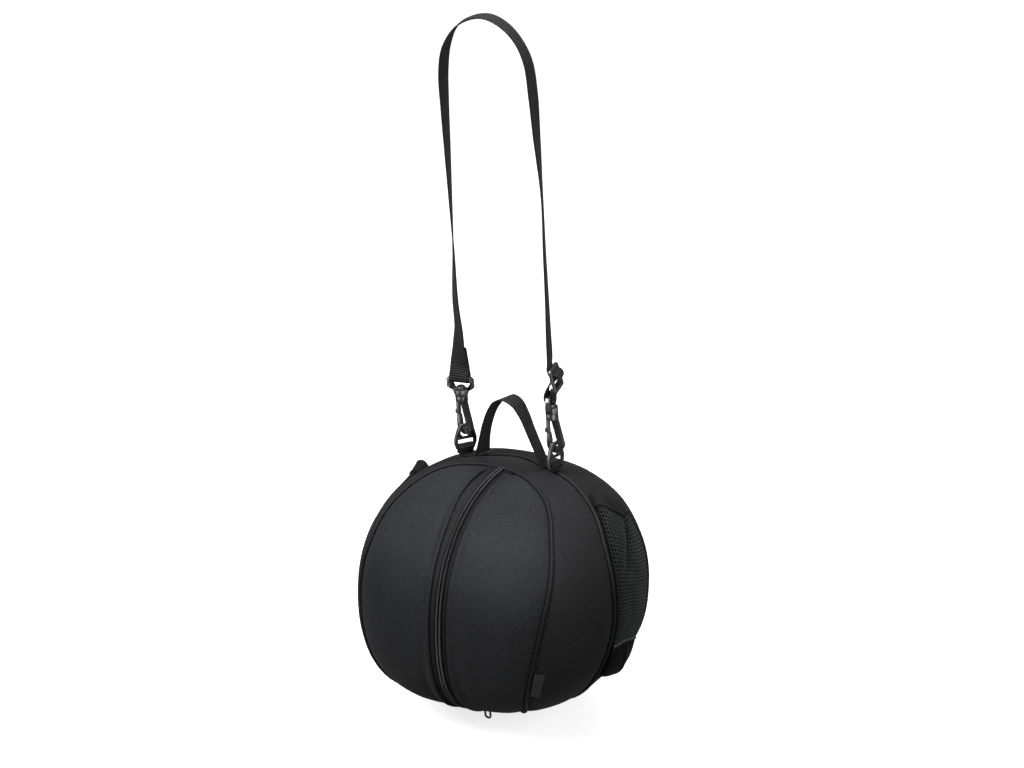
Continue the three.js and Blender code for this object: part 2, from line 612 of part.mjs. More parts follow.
const barAt = {};
const barWay = {};
for (const side of SIDES) {
  const level = compass(side.ringTurn);
  const line = tabLine(side.across, side.ringTurn);
  const near = vector(side.across, RING_BACK, TAB.barHeight - 8);
  const cornerAt = (reach) => bodyPoint(near.clone().addScaledVector(level, reach), 0);
  const sloped = cornerAt(TAB.half).sub(cornerAt(-TAB.half)).normalize();
  const widths = line.map((point, i) => (i === 0 || i === line.length - 1 ? sloped : level));
  add(`tab_${side.name}`, ribbon(line, widths, TAB.half, TAB.thick), WEB);

  const ringFrame = frameAt(vector(side.across, RING_BACK, 0), vector(0, 0, 1), level);
  add(`ring_${side.name}`, upright(ringShape, RING.thick), NYLON, ringFrame);

  const facing = compass(side.hookTurn);
  const lean = vector(side.leanOver, HOOK_LEAN.back, HOOK_LEAN.up).normalize();
  const seat = vector(side.across, RING_BACK, HOOK_SEAT).addScaledVector(facing, -HOOK.bendAcross);
  const hookFrame = frameAt(seat, lean, facing);
  const hook = solid(upright(hookShape, HOOK.thick))
    .add(solid(post(HOOK.collar, HOOK.collarFoot, 37)))
    .add(solid(post(HOOK.neck, 36, 44.4)))
    .add(solid(post(HOOK.knob, 43.9, 46.5)));
  add(`hook_${side.name}`, geometryOf(hook), NYLON, hookFrame);
  add(`gate_${side.name}`, upright(gateShape, GATE.thick), NYLON, hookFrame);

  const loopFrame = frameAt(seat, lean, compass(side.loopTurn));
  const loop = solid(upright(loopShape, LOOP.thick))
    .add(solid(post(LOOP.barrel, 37.35, 43.6)))
    .subtract(solid(post(LOOP.bore, 36, 45)));
  add(`loop_${side.name}`, geometryOf(loop), NYLON, loopFrame);
  barAt[side.name] = seat.clone().addScaledVector(lean, LOOP.barHeight);
  barWay[side.name] = vector(1, 0, 0).applyQuaternion(loopFrame.quaternion);
}

// Shoulder strap: sewn end, left leg, arch, right leg, and the end through the adjuster
function strapPlace(row) {
  const share = (row.height - STRAP_LEAN.foot) / (STRAP_LEAN.top - STRAP_LEAN.foot);
  return vector(row.across, lerp(STRAP_LEAN.footBack, STRAP_LEAN.topBack, share), row.height);
}
function wrapRound(bar, turn) {
  return Array.from({ length: 9 }, (_, i) => {
    const spin = (-Math.PI * i) / 8;
    const place = bar.clone().addScaledVector(outward(turn), STRAP_WRAP * Math.cos(spin));
    return place.setZ(bar.z + STRAP_WRAP * Math.sin(spin));
  });
}
const sewnTurn = (up) => {
  const share = THREE.MathUtils.smoothstep(up, SEWN_TURN.from, SEWN_TURN.to);
  return lerp(SEWN_TURN.bar, SEWN_TURN.top, share);
};
const beside = (bar, turn, row, way = 1) => {
  return bar.clone().addScaledVector(outward(turn), way * row.out).setZ(bar.z + row.up);
};
const rightTurn = SIDES[1].loopTurn;
const strapLine = [];
const strapWidths = [];
const lay = (point, width) => {
  strapLine.push(point);
  strapWidths.push(width);
};
for (const row of SEWN_END) {
  lay(beside(barAt.left, sewnTurn(row.up), row), compass(sewnTurn(row.up)));
}
for (const point of wrapRound(barAt.left, SIDES[0].loopTurn)) {
  lay(point, barWay.left);
}
for (const row of SEWN_END.toReversed()) {
  lay(beside(barAt.left, sewnTurn(row.up), row, -1), compass(sewnTurn(row.up)));
}
const strapCurve = sample(throughRows(STRAP, strapPlace), STRAP_STEPS);
const strapTurns = sample(throughRows(STRAP, (row) => vector(row.turn, 0, 0)), STRAP_STEPS);
strapCurve.forEach((point, i) => lay(point, compass(strapTurns[i].x)));
for (const row of ADJUSTED_DOWN) {
  lay(beside(barAt.right, rightTurn, row), barWay.right);
}
for (const point of wrapRound(barAt.right, rightTurn)) {
  lay(point, barWay.right);
}
for (const row of ADJUSTED_BACK) {
  lay(beside(barAt.right, rightTurn, row), barWay.right);
}
add("strap", ribbon(strapLine, strapWidths, WEBBING.half, WEBBING.thick), WEB);

// Adjuster: a flat frame of three bars that the strap is threaded through
const adjusterShape = outline([
  [-ADJUSTER.half, 2 - ADJUSTER.reach], [2 - ADJUSTER.half, -ADJUSTER.reach],
  [ADJUSTER.half - 2, -ADJUSTER.reach], [ADJUSTER.half, 2 - ADJUSTER.reach],
  [ADJUSTER.half, ADJUSTER.reach - 2], [ADJUSTER.half - 2, ADJUSTER.reach],
  [2 - ADJUSTER.half, ADJUSTER.reach], [-ADJUSTER.half, ADJUSTER.reach - 2],
]);
const slotNear = ADJUSTER_BARS.middle / 2;
const slotFar = ADJUSTER.reach - ADJUSTER_BARS.end;
for (const way of [-1, 1]) {
  adjusterShape.holes.push(outline([
    [-ADJUSTER_BARS.slotHalf, way * slotNear], [ADJUSTER_BARS.slotHalf, way * slotNear],
    [ADJUSTER_BARS.slotHalf, way * slotFar], [-ADJUSTER_BARS.slotHalf, way * slotFar],
  ]));
}
const tilt = radians(ADJUSTER.tilt);
const adjusterUp = outward(rightTurn).multiplyScalar(-Math.sin(tilt)).setZ(Math.cos(tilt));
const adjusterAt = beside(barAt.right, rightTurn, ADJUSTER);
const adjusterFrame = frameAt(adjusterAt, adjusterUp, barWay.right);
add("adjuster", upright(adjusterShape, ADJUSTER.thick), NYLON, adjusterFrame);

const ballBag = new THREE.Group();
ballBag.add(bag);

export default ballBag;
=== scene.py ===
# %% [markdown]
# # A black ball bag, hung by its strap
# A round bag for one ball: two front panels with a zip between them, a band, a back panel, piping in the
# seams, a net pocket on each side, a webbing handle and a long strap on two moulded hooks. The packed
# model gives every piece its place. This file dresses it with finer cloth, stitches, net and finishes.

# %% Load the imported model
import bpy
import bmesh
import json
import math
import numpy as np
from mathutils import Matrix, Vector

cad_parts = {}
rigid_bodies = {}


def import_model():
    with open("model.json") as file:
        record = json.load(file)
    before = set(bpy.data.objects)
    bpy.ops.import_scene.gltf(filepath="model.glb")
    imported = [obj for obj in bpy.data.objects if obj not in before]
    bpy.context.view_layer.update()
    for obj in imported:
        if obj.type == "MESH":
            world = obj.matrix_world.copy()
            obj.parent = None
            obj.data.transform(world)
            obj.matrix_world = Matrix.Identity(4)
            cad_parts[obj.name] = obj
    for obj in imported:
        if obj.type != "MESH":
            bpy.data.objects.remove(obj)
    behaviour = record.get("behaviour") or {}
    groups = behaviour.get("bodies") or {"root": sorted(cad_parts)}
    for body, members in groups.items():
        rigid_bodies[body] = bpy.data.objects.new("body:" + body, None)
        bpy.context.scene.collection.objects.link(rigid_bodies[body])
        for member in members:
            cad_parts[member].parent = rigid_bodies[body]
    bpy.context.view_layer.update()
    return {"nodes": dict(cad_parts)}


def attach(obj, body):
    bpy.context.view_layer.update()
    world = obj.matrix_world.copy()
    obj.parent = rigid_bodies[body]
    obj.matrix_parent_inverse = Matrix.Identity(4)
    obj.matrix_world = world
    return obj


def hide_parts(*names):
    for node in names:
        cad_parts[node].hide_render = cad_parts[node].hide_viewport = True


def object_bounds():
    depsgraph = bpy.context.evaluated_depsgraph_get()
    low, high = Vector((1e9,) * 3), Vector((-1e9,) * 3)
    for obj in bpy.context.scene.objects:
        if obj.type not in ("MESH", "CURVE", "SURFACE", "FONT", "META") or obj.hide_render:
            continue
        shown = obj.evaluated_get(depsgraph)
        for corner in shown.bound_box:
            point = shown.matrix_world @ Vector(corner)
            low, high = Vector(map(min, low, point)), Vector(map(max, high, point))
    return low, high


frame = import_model()
MM = 0.001

# %% [markdown]
# ## The camera
# The photo looks a little down on the bag from its right. A lens of about 84 mm at 2.4 m gives the same
# size on the picture and the same slight narrowing towards the bottom. The bag's own middle is the
# point that the camera was measured from.

# %% Camera
BAG = np.array([12.0, 8.0, -569.0])
SEEN_TURN, SEEN_RISE, DISTANCE = 27.72, 26.49, 2400.0
LOOK_TURN, LOOK_DOWN = 27.48, 21.84
SENSOR, FOCAL_PIXELS, PICTURE_WIDTH = 36.0, 2400.0, 1024.0
turn, rise = math.radians(SEEN_TURN), math.radians(SEEN_RISE)
away = np.array([math.sin(turn) * math.cos(rise), -math.cos(turn) * math.cos(rise), math.sin(rise)])
camera_data = bpy.data.cameras.new("photo_camera")
camera_data.sensor_width = SENSOR
camera_data.lens = SENSOR * FOCAL_PIXELS / PICTURE_WIDTH
camera = bpy.data.objects.new("photo_camera", camera_data)
camera.location = (BAG + DISTANCE * away) * MM
camera.rotation_euler = (math.radians(90 - LOOK_DOWN), 0.0, math.radians(LOOK_TURN))
bpy.context.collection.objects.link(camera)
bpy.context.scene.camera = camera
print("camera at", [round(v, 3) for v in camera.location])

# %% [markdown]
# ## Small helpers
# One function turns a colour as it is picked on a screen into the linear values that a shader wants.
# Another adds a node, sets it up and links it. Others put an object in the scene, keep what its modifiers
# make as a plain mesh, and make a mesh object from points in millimetres measured from the bag's middle,
# with an unrolled cloth map in metres if it has one.

# %% Colours, nodes and finishes
SHEEN_ROUGHNESS = 0.45


def linear(hex_colour):
    """A screen colour such as #2a2a2a as linear red, green, blue and alpha."""
    parts = [int(hex_colour[i:i + 2], 16) / 255 for i in (1, 3, 5)]
    return (*[c / 12.92 if c <= 0.04045 else ((c + 0.055) / 1.055) ** 2.4 for c in parts], 1.0)


def add_node(tree, kind, links=None, **settings):
    """Adds a node, gives it its settings, and links or fills its inputs."""
    made = tree.nodes.new(kind)
    for name, value in settings.items():
        setattr(made, name, value)
    for socket, source in (links or {}).items():
        if isinstance(source, bpy.types.NodeSocket):
            tree.links.new(source, made.inputs[socket])
        else:
            made.inputs[socket].default_value = source
    return made


def new_finish(name, roughness, ior=1.5, specular=0.5, sheen=0.0):
    """An empty material with its shader, and the sockets that are the same all over."""
    finish = bpy.data.materials.new(name)
    finish.use_nodes = True
    shader = finish.node_tree.nodes["Principled BSDF"]
    shader.inputs["Roughness"].default_value = roughness
    shader.inputs["IOR"].default_value = ior
    shader.inputs["Specular IOR Level"].default_value = specular
    shader.inputs["Sheen Weight"].default_value = sheen
    shader.inputs["Sheen Roughness"].default_value = SHEEN_ROUGHNESS
    return finish, finish.node_tree, shader


print("a mid grey on the screen is", round(linear("#808080")[0], 3), "in linear light")


def placed(name, data):
    """A new object with this data, linked into the scene."""
    made = bpy.data.objects.new(name, data)
    bpy.context.collection.objects.link(made)
    return made


def kept_mesh(name, source):
    """The plain mesh that a source object's modifiers make. The source itself is removed."""
    bpy.context.view_layer.update()
    ready = source.evaluated_get(bpy.context.evaluated_depsgraph_get())
    mesh = bpy.data.meshes.new_from_object(ready)
    mesh.name = name
    source.modifiers.clear()
    bpy.data.objects.remove(source)
    return mesh


def new_piece(name, points, faces, finish, uv=None, sharp=40.0):
    """A mesh object from points in millimetres from the bag's middle, with its faces turned outwards."""
    mesh = bpy.data.meshes.new(name)
    mesh.from_pydata(((np.asarray(points) + BAG) * MM).tolist(), [], faces)
    if uv is not None:
        layer = mesh.uv_layers.new(name="cloth")
        layer.data.foreach_set("uv", np.asarray(uv, dtype=np.float32).ravel())
    shape = bmesh.new()
    shape.from_mesh(mesh)
    if shape.calc_volume(signed=True) < 0:
        bmesh.ops.reverse_faces(shape, faces=shape.faces)
    shape.to_mesh(mesh)
    shape.free()
    mesh.shade_smooth()
    mesh.set_sharp_from_angle(angle=math.radians(sharp))
    mesh.materials.append(finish)
    return placed(name, mesh)


def settle(piece, slot, *nodes, body="root", held=None):
    """Lets a piece ride on its body and stand for its solids, which are hidden. Slot and held are not used.
    """
    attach(piece, body)
    if nodes:
        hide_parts(*nodes)
    print(piece.name, len(piece.data.polygons), "faces")


print("objects in the scene so far:", len(bpy.context.collection.all_objects))

# %% [markdown]
# ## Finishes: woven polyester
# The shell is 600 denier polyester, a plain weave of thick yarns, dyed black and backed with a coating.
# It looks matt and very dark grey, with a faint check and a soft glow at the edges where the yarns stand
# up. A picture of cloth could be wrapped on, but two crossed waves on the unrolled cloth map need no file
# and keep their size on every panel. Real yarns are about 0.6 mm apart: here they are drawn at 2.4 mm so
# that the check shows at all.

# %% Woven polyester
# SHADE_COLOUR is painted shade: a cloth's colour is mixed towards it where painted shade is stored on its
# points.
SHADE_COLOUR = "#020202"
SLUB_MM, CLOUD_MM, TONE_STOPS, WEAVE_BUMP = 3.0, 60.0, (0.2, 0.8), 0.5


def with_painted_shade(tree, colour, shader):
    """Gives a shader its colour, mixed towards SHADE_COLOUR by the painted shade stored on the cloth's
    points.
    """
    painted_shade = add_node(tree, "ShaderNodeAttribute", attribute_name="painted_shade")
    tone = add_node(tree, "ShaderNodeMix", {"Factor": painted_shade.outputs["Fac"]}, data_type="RGBA")
    tree.links.new(colour, tone.inputs[6])
    tone.inputs[7].default_value = linear(SHADE_COLOUR)
    tree.links.new(tone.outputs[2], shader.inputs["Base Color"])


def woven(name, light, dark, pitch_mm, relief_mm, roughness, sheen, check_share=0.6, specular=0.3):
    """A plain weave on the cloth map: two waves cross, and a slow noise shades large areas."""
    finish, tree, shader = new_finish(name, roughness, ior=1.5, specular=specular, sheen=sheen)
    cloth = add_node(tree, "ShaderNodeUVMap", uv_map="cloth")
    way = add_node(tree, "ShaderNodeSeparateXYZ", {0: cloth.outputs["UV"]})
    per_metre = 2 * math.pi / (pitch_mm * MM)
    warp = add_node(tree, "ShaderNodeMath", {0: way.outputs["X"], 1: per_metre}, operation="MULTIPLY")
    weft = add_node(tree, "ShaderNodeMath", {0: way.outputs["Y"], 1: per_metre}, operation="MULTIPLY")
    over = add_node(tree, "ShaderNodeMath", {0: warp.outputs[0]}, operation="SINE")
    under = add_node(tree, "ShaderNodeMath", {0: weft.outputs[0]}, operation="SINE")
    check = add_node(tree, "ShaderNodeMath", {0: over.outputs[0], 1: under.outputs[0]}, operation="MULTIPLY")
    place = add_node(tree, "ShaderNodeTexCoord")
    slub = add_node(tree, "ShaderNodeTexNoise", {
        "Vector": place.outputs["Object"], "Scale": 1 / (SLUB_MM * MM), "Detail": 2.0})
    shade = add_node(tree, "ShaderNodeTexNoise", {
        "Vector": place.outputs["Object"], "Scale": 1 / (CLOUD_MM * MM), "Detail": 1.0})
    mixed = add_node(tree, "ShaderNodeMath", {
        0: check.outputs[0], 1: check_share, 2: slub.outputs["Fac"]}, operation="MULTIPLY_ADD")
    level = add_node(tree, "ShaderNodeMath", {
        0: mixed.outputs[0], 1: shade.outputs["Fac"]}, operation="ADD")
    half = add_node(tree, "ShaderNodeMath", {0: level.outputs[0], 1: 0.5}, operation="MULTIPLY")
    ramp = add_node(tree, "ShaderNodeValToRGB", {"Fac": half.outputs[0]})
    for stop, at, colour in zip(ramp.color_ramp.elements, TONE_STOPS, (dark, light)):
        stop.position, stop.color = at, linear(colour)
    # Painted shade stored on the cloth's points darkens its colour.
    with_painted_shade(tree, ramp.outputs["Color"], shader)
    bump = add_node(tree, "ShaderNodeBump", {
        "Height": mixed.outputs[0], "Strength": WEAVE_BUMP, "Distance": relief_mm * MM})
    tree.links.new(bump.outputs["Normal"], shader.inputs["Normal"])
    return finish


SHELL_PITCH, TAPE_PITCH, BIAS_PITCH = 2.4, 1.8, 1.6
polyester = woven("woven_polyester_600_denier", "#323336", "#161617", SHELL_PITCH, 0.25, 0.7, 0.06)
band_polyester = woven("woven_polyester_band", "#29292c", "#131314", SHELL_PITCH, 0.25, 0.72, 0.05)
# The pocket base is darker than the shell cloth as painted shade; its lower roughness is the coated cloth's
# own gloss.
base_polyester = woven(
    "coated_polyester_pocket_base", "#0c0c0d", "#040405", SHELL_PITCH, 0.2, 0.45, 0.0, specular=0.15)
piping_cloth = woven("bias_cut_polyester_piping", "#242426", "#111112", BIAS_PITCH, 0.2, 0.5, 0.05)
tape_cloth = woven("woven_zip_tape", "#2f2f32", "#0b0b0c", TAPE_PITCH, 0.35, 0.65, 0.03, check_share=0.9)
# The back cloth is darker than the front cloth as painted shade, so the net's holes look dark; the hems use
# it too.
back_polyester = woven("woven_polyester_back", "#1c1c1e", "#0b0b0c", SHELL_PITCH, 0.25, 0.72, 0.04)
# The binding cloth is paler than the rest as a painted highlight along the pocket's waist.
binding_with_painted_highlight = woven("folded_edge_binding", "#5a5a5e", "#2c2c2f", BIAS_PITCH, 0.2, 0.5, 0.08)
CLOTHS = (
    polyester, band_polyester, base_polyester, piping_cloth, tape_cloth, back_polyester, binding_with_painted_highlight)
print("cloth finishes:", [cloth.name for cloth in CLOTHS])

# %% [markdown]
# ## Finishes: webbing, net, label and thread
# Strap, handle and tabs are polypropylene webbing. Its yarns make ribs straight across it, about 2 mm apart,
# and each edge has a smooth bound selvedge. One wave along the cloth map draws the ribs, so that they turn
# with the ribbon. The net is knitted polyester, a little greenish against the dark cloth, with painted shade
# in its fold, beside the seam and at its rear edge. The label is satin, woven with fine lines and left blank.
# The satin's lines and the thread's twist are drawn at about 1 mm, coarser than real, so that they show.

# %% Webbing
RIB_MM, RIB_SHARE, RIB_RELIEF_MM, RIB_BUMP, FUZZ_MM = 2.4, 0.5, 0.5, 0.9, 2.0
SELVEDGE_FROM_MM, SELVEDGE_TO_MM = 8.6, 9.2
webbing, tree, shader = new_finish("polypropylene_webbing", 0.6, ior=1.49, specular=0.25, sheen=0.06)
cloth = add_node(tree, "ShaderNodeUVMap", uv_map="cloth")
way = add_node(tree, "ShaderNodeSeparateXYZ", {0: cloth.outputs["UV"]})
side = add_node(tree, "ShaderNodeMath", {0: way.outputs["X"]}, operation="ABSOLUTE")
rib = add_node(tree, "ShaderNodeMath", {
    0: way.outputs["Y"], 1: 2 * math.pi / (RIB_MM * MM)}, operation="MULTIPLY")
wave = add_node(tree, "ShaderNodeMath", {0: rib.outputs[0]}, operation="SINE")
inside = add_node(tree, "ShaderNodeMapRange", {
    0: side.outputs[0], 1: SELVEDGE_TO_MM * MM, 2: SELVEDGE_FROM_MM * MM, 3: 0.0, 4: 1.0})
ribbed = add_node(tree, "ShaderNodeMath", {0: wave.outputs[0], 1: inside.outputs[0]}, operation="MULTIPLY")
place = add_node(tree, "ShaderNodeTexCoord")
fuzz = add_node(tree, "ShaderNodeTexNoise", {
    "Vector": place.outputs["Object"], "Scale": 1 / (FUZZ_MM * MM), "Detail": 2.0})
height = add_node(tree, "ShaderNodeMath", {
    0: ribbed.outputs[0], 1: RIB_SHARE, 2: fuzz.outputs["Fac"]}, operation="MULTIPLY_ADD")
ramp = add_node(tree, "ShaderNodeValToRGB", {"Fac": height.outputs[0]})
ramp.color_ramp.elements[0].color, ramp.color_ramp.elements[1].color = linear("#09090a"), linear("#3a3a3d")
tree.links.new(ramp.outputs["Color"], shader.inputs["Base Color"])
bump = add_node(tree, "ShaderNodeBump", {
    "Height": height.outputs[0], "Strength": RIB_BUMP, "Distance": RIB_RELIEF_MM * MM})
tree.links.new(bump.outputs["Normal"], shader.inputs["Normal"])
print("webbing finish:", webbing.name)

# %% Net yarn
YARN_MM, YARN_RELIEF_MM, YARN_BUMP = 1.2, 0.2, 0.5
net_yarn, tree, shader = new_finish("knitted_polyester_net", 0.65, ior=1.5, specular=0.25, sheen=0.1)
place = add_node(tree, "ShaderNodeTexCoord")
yarn = add_node(tree, "ShaderNodeTexNoise", {
    "Vector": place.outputs["Object"], "Scale": 1 / (YARN_MM * MM), "Detail": 2.0})
ramp = add_node(tree, "ShaderNodeValToRGB", {"Fac": yarn.outputs["Fac"]})
ramp.color_ramp.elements[0].color, ramp.color_ramp.elements[1].color = linear("#191a1a"), linear("#444746")
with_painted_shade(tree, ramp.outputs["Color"], shader)
bump = add_node(tree, "ShaderNodeBump", {
    "Height": yarn.outputs["Fac"], "Strength": YARN_BUMP, "Distance": YARN_RELIEF_MM * MM})
tree.links.new(bump.outputs["Normal"], shader.inputs["Normal"])
print("net finish:", net_yarn.name)

# %% Label satin and thread
SATIN_LINE_MM, SATIN_RELIEF_MM, SATIN_BUMP, TWIST_MM = 1.2, 0.15, 0.3, 0.8
label_satin, tree, shader = new_finish("woven_satin_label", 0.5, ior=1.5, specular=0.45, sheen=0.1)
cloth = add_node(tree, "ShaderNodeUVMap", uv_map="cloth")
way = add_node(tree, "ShaderNodeSeparateXYZ", {0: cloth.outputs["UV"]})
line = add_node(tree, "ShaderNodeMath", {
    0: way.outputs["Y"], 1: 2 * math.pi / (SATIN_LINE_MM * MM)}, operation="MULTIPLY")
wave = add_node(tree, "ShaderNodeMath", {0: line.outputs[0]}, operation="SINE")
share = add_node(tree, "ShaderNodeMapRange", {0: wave.outputs[0], 1: -1.0, 2: 1.0, 3: 0.0, 4: 1.0})
tint = add_node(tree, "ShaderNodeMix", {"Factor": share.outputs[0]}, data_type="RGBA")
tint.inputs[6].default_value, tint.inputs[7].default_value = linear("#2c2d2f"), linear("#3f4043")
tree.links.new(tint.outputs[2], shader.inputs["Base Color"])
bump = add_node(tree, "ShaderNodeBump", {
    "Height": wave.outputs[0], "Strength": SATIN_BUMP, "Distance": SATIN_RELIEF_MM * MM})
tree.links.new(bump.outputs["Normal"], shader.inputs["Normal"])

thread, tree, shader = new_finish("twisted_polyester_thread", 0.55, ior=1.5, specular=0.4, sheen=0.1)
place = add_node(tree, "ShaderNodeTexCoord")
twist = add_node(tree, "ShaderNodeTexNoise", {
    "Vector": place.outputs["Object"], "Scale": 1 / (TWIST_MM * MM), "Detail": 1.0})
ramp = add_node(tree, "ShaderNodeValToRGB", {"Fac": twist.outputs["Fac"]})
ramp.color_ramp.elements[0].color, ramp.color_ramp.elements[1].color = linear("#151516"), linear("#313133")
tree.links.new(ramp.outputs["Color"], shader.inputs["Base Color"])
print("label and thread finishes:", label_satin.name, thread.name)

# %% [markdown]
# ## Finishes: moulded acetal, nylon coil and enamelled zinc
# Hooks, rings, loops and the adjuster are injection moulded acetal with a finely spark-eroded skin, so the
# light breaks on them in soft grey streaks, and their sharp edges are paler: partly wear, partly a painted
# highlight. The zip's teeth are one nylon filament, smoother than the cloth. Slider and pull are die-cast
# zinc under black enamel. All three are a hard skin with a grain, so one function makes them with different
# numbers.

# %% Moulded acetal, nylon coil and enamelled zinc
PLASTIC_IOR, COAT_ROUGHNESS, COAT_IOR = 1.48, 0.2, 1.8
STREAK_MM, STREAK_LOW, STREAK_HIGH = 9.0, 0.3, 0.7
GLOSS_SWING, GRAIN_BUMP = 0.08, 0.25
EDGE_WEAR_AND_HIGHLIGHT_FROM, EDGE_WEAR_AND_HIGHLIGHT_TO = 0.52, 0.62


def moulded(name, low, high, edge_wear_and_highlight, roughness, grain_mm, relief_mm, coat=0.0):
    """A hard skin with a fine grain, slow changes of shade and gloss, and paler sharp edges: partly wear,
    partly a painted highlight.
    """
    finish, tree, shader = new_finish(name, roughness, ior=PLASTIC_IOR, specular=0.7)
    shader.inputs["Coat Weight"].default_value = coat
    shader.inputs["Coat Roughness"].default_value = COAT_ROUGHNESS
    shader.inputs["Coat IOR"].default_value = COAT_IOR
    place = add_node(tree, "ShaderNodeTexCoord")
    grain = add_node(tree, "ShaderNodeTexNoise", {
        "Vector": place.outputs["Object"], "Scale": 1 / (grain_mm * MM), "Detail": 2.0})
    streak = add_node(tree, "ShaderNodeTexNoise", {
        "Vector": place.outputs["Object"], "Scale": 1 / (STREAK_MM * MM), "Detail": 1.0})
    ramp = add_node(tree, "ShaderNodeValToRGB", {"Fac": streak.outputs["Fac"]})
    ramp.color_ramp.elements[0].color, ramp.color_ramp.elements[1].color = linear(low), linear(high)
    # Sharp edges are paler: partly wear, partly a painted highlight.
    bend = add_node(tree, "ShaderNodeNewGeometry")
    edge = add_node(tree, "ShaderNodeMapRange", {
        0: bend.outputs["Pointiness"], 1: EDGE_WEAR_AND_HIGHLIGHT_FROM, 2: EDGE_WEAR_AND_HIGHLIGHT_TO, 3: 0.0, 4: 1.0})
    wear_and_highlight_mix = add_node(tree, "ShaderNodeMix", {"Factor": edge.outputs[0]}, data_type="RGBA")
    tree.links.new(ramp.outputs["Color"], wear_and_highlight_mix.inputs[6])
    wear_and_highlight_mix.inputs[7].default_value = linear(edge_wear_and_highlight)
    tree.links.new(wear_and_highlight_mix.outputs[2], shader.inputs["Base Color"])
    gloss = add_node(tree, "ShaderNodeMapRange", {
        0: streak.outputs["Fac"], 1: STREAK_LOW, 2: STREAK_HIGH,
        3: roughness - GLOSS_SWING, 4: roughness + GLOSS_SWING})
    tree.links.new(gloss.outputs[0], shader.inputs["Roughness"])
    bump = add_node(tree, "ShaderNodeBump", {
        "Height": grain.outputs["Fac"], "Strength": GRAIN_BUMP, "Distance": relief_mm * MM})
    tree.links.new(bump.outputs["Normal"], shader.inputs["Normal"])
    return finish


acetal = moulded("moulded_acetal", "#161617", "#2c2c2e", "#77777a", 0.26, 0.8, 0.12, coat=0.8)
nylon = moulded("drawn_nylon_coil", "#29292b", "#3f3f42", "#4a4a4d", 0.34, 1.0, 0.08)
enamel = moulded("enamelled_zinc", "#101011", "#1a1a1b", "#4a4a4c", 0.24, 1.2, 0.06)
print("hard finishes:", acetal.name, nylon.name, enamel.name)

# %% [markdown]
# ## The body's surface
# The stuffed body is a fat ball, fuller than an ellipsoid, that leans a little and sags at the lower left.
# A direction from its middle is given by an angle from the front pole and a turn round the front axis: 90
# is the top, 0 the right side, 180 the left. The ball could be sculpted, but with one function of
# direction every panel, tape and pocket can be laid on it exactly. The seams are tables of that angle,
# every 15 degrees of turn, with a smooth curve through them.

# %% Body
HALVES = np.array([140.0, 134.0, 123.0])
FULLNESS, LEAN = 2.3, 0.034
SAG, SAG_ANGLE, SAG_TURN, SAG_SPREAD = 0.046, 52.0, -136.0, 0.09


def direction(angle, turn):
    """Unit vectors towards an angle from the front pole and a turn round the front axis, in degrees."""
    angle, turn = np.radians(angle), np.radians(turn)
    aside = np.sin(angle)
    return np.stack([aside * np.cos(turn), -np.cos(angle) + 0 * turn, aside * np.sin(turn)], -1)


def on_body(towards, lift):
    """Points on the body along directions, lifted off it along the surface's own normal, in millimetres."""
    towards = towards / np.linalg.norm(towards, axis=-1, keepdims=True)
    reach = np.sum((np.abs(towards) / HALVES) ** FULLNESS, -1) ** (-1 / FULLNESS)
    lean = LEAN * towards[..., 0] * towards[..., 2] * (1 - towards[..., 2] ** 2)
    sag = SAG * np.exp((towards @ direction(SAG_ANGLE, SAG_TURN) - 1) / SAG_SPREAD)
    point = towards * (reach * (1 + lean + sag))[..., None]
    return point + out_of(point) * np.asarray(lift)[..., None]


def out_of(point):
    """The body's outward normal at points near its surface."""
    slope = np.sign(point) * (np.abs(point) / HALVES) ** (FULLNESS - 1) / HALVES
    return slope / np.linalg.norm(slope, axis=-1, keepdims=True)


print("body, half sizes in mm:", HALVES.tolist())

# %% Seams
SEAM_TURN = 15.0
SEAM_EDGE, SEAM_TUCK = 2.3, 0.3
FRONT_RIGHT = [89, 84.7, 75.5, 61.3, 51.3, 44.3, 41, 40.3, 42.4, 48.5, 60.5, 74, 81]
FRONT_LEFT = [89, 88.5, 85, 70, 56.5, 51.5, 49.2, 47.5, 47.5, 51, 61, 74, 81]
BACK = [106.5, 101.5, 98, 90.5, 81.5, 77.8, 77, 75.5, 75.5, 79, 86, 93, 96]
SEAMS = {
    "front": np.array(FRONT_RIGHT + FRONT_LEFT[-2:0:-1], dtype=float),
    "back": np.array(BACK + BACK[-2:0:-1], dtype=float),
}


def seam_angle(seam, turn):
    """The seam's angle from the front pole at turns, on a smooth closed curve through its table."""
    knots = SEAMS[seam]
    place = (90.0 - np.asarray(turn, dtype=float)) / SEAM_TURN
    k = np.floor(place).astype(int)
    f = place - k
    a, b, c, d = (knots[(k + i) % len(knots)] for i in (-1, 0, 1, 2))
    return b + 0.5 * f * (c - a + f * (2 * a - 5 * b + 4 * c - d + (3 * b - a - 3 * c + d) * f))


def beside_seam(seam, turn, distance):
    """The angle at a distance in millimetres from a seam, measured across the seam's own run."""
    angle = seam_angle(seam, turn)
    run = (seam_angle(seam, turn + 1) - seam_angle(seam, turn - 1)) / 2 / np.sin(np.radians(angle))
    reach = np.linalg.norm(on_body(direction(angle, turn), 0 * angle), axis=-1)
    return angle + np.degrees(distance / reach) * np.hypot(1, run)


def zip_direction(rise, across):
    """Directions on the front middle line at a rise in degrees, moved sideways in millimetres."""
    rise = np.radians(rise)
    middle = on_body(np.stack([0 * rise, -np.cos(rise), np.sin(rise)], -1), 0 * rise)
    middle[..., 0] = across
    return middle / np.linalg.norm(middle, axis=-1, keepdims=True)


print("front seam at the right side:", float(seam_angle("front", 0.0)), "degrees from the front pole")

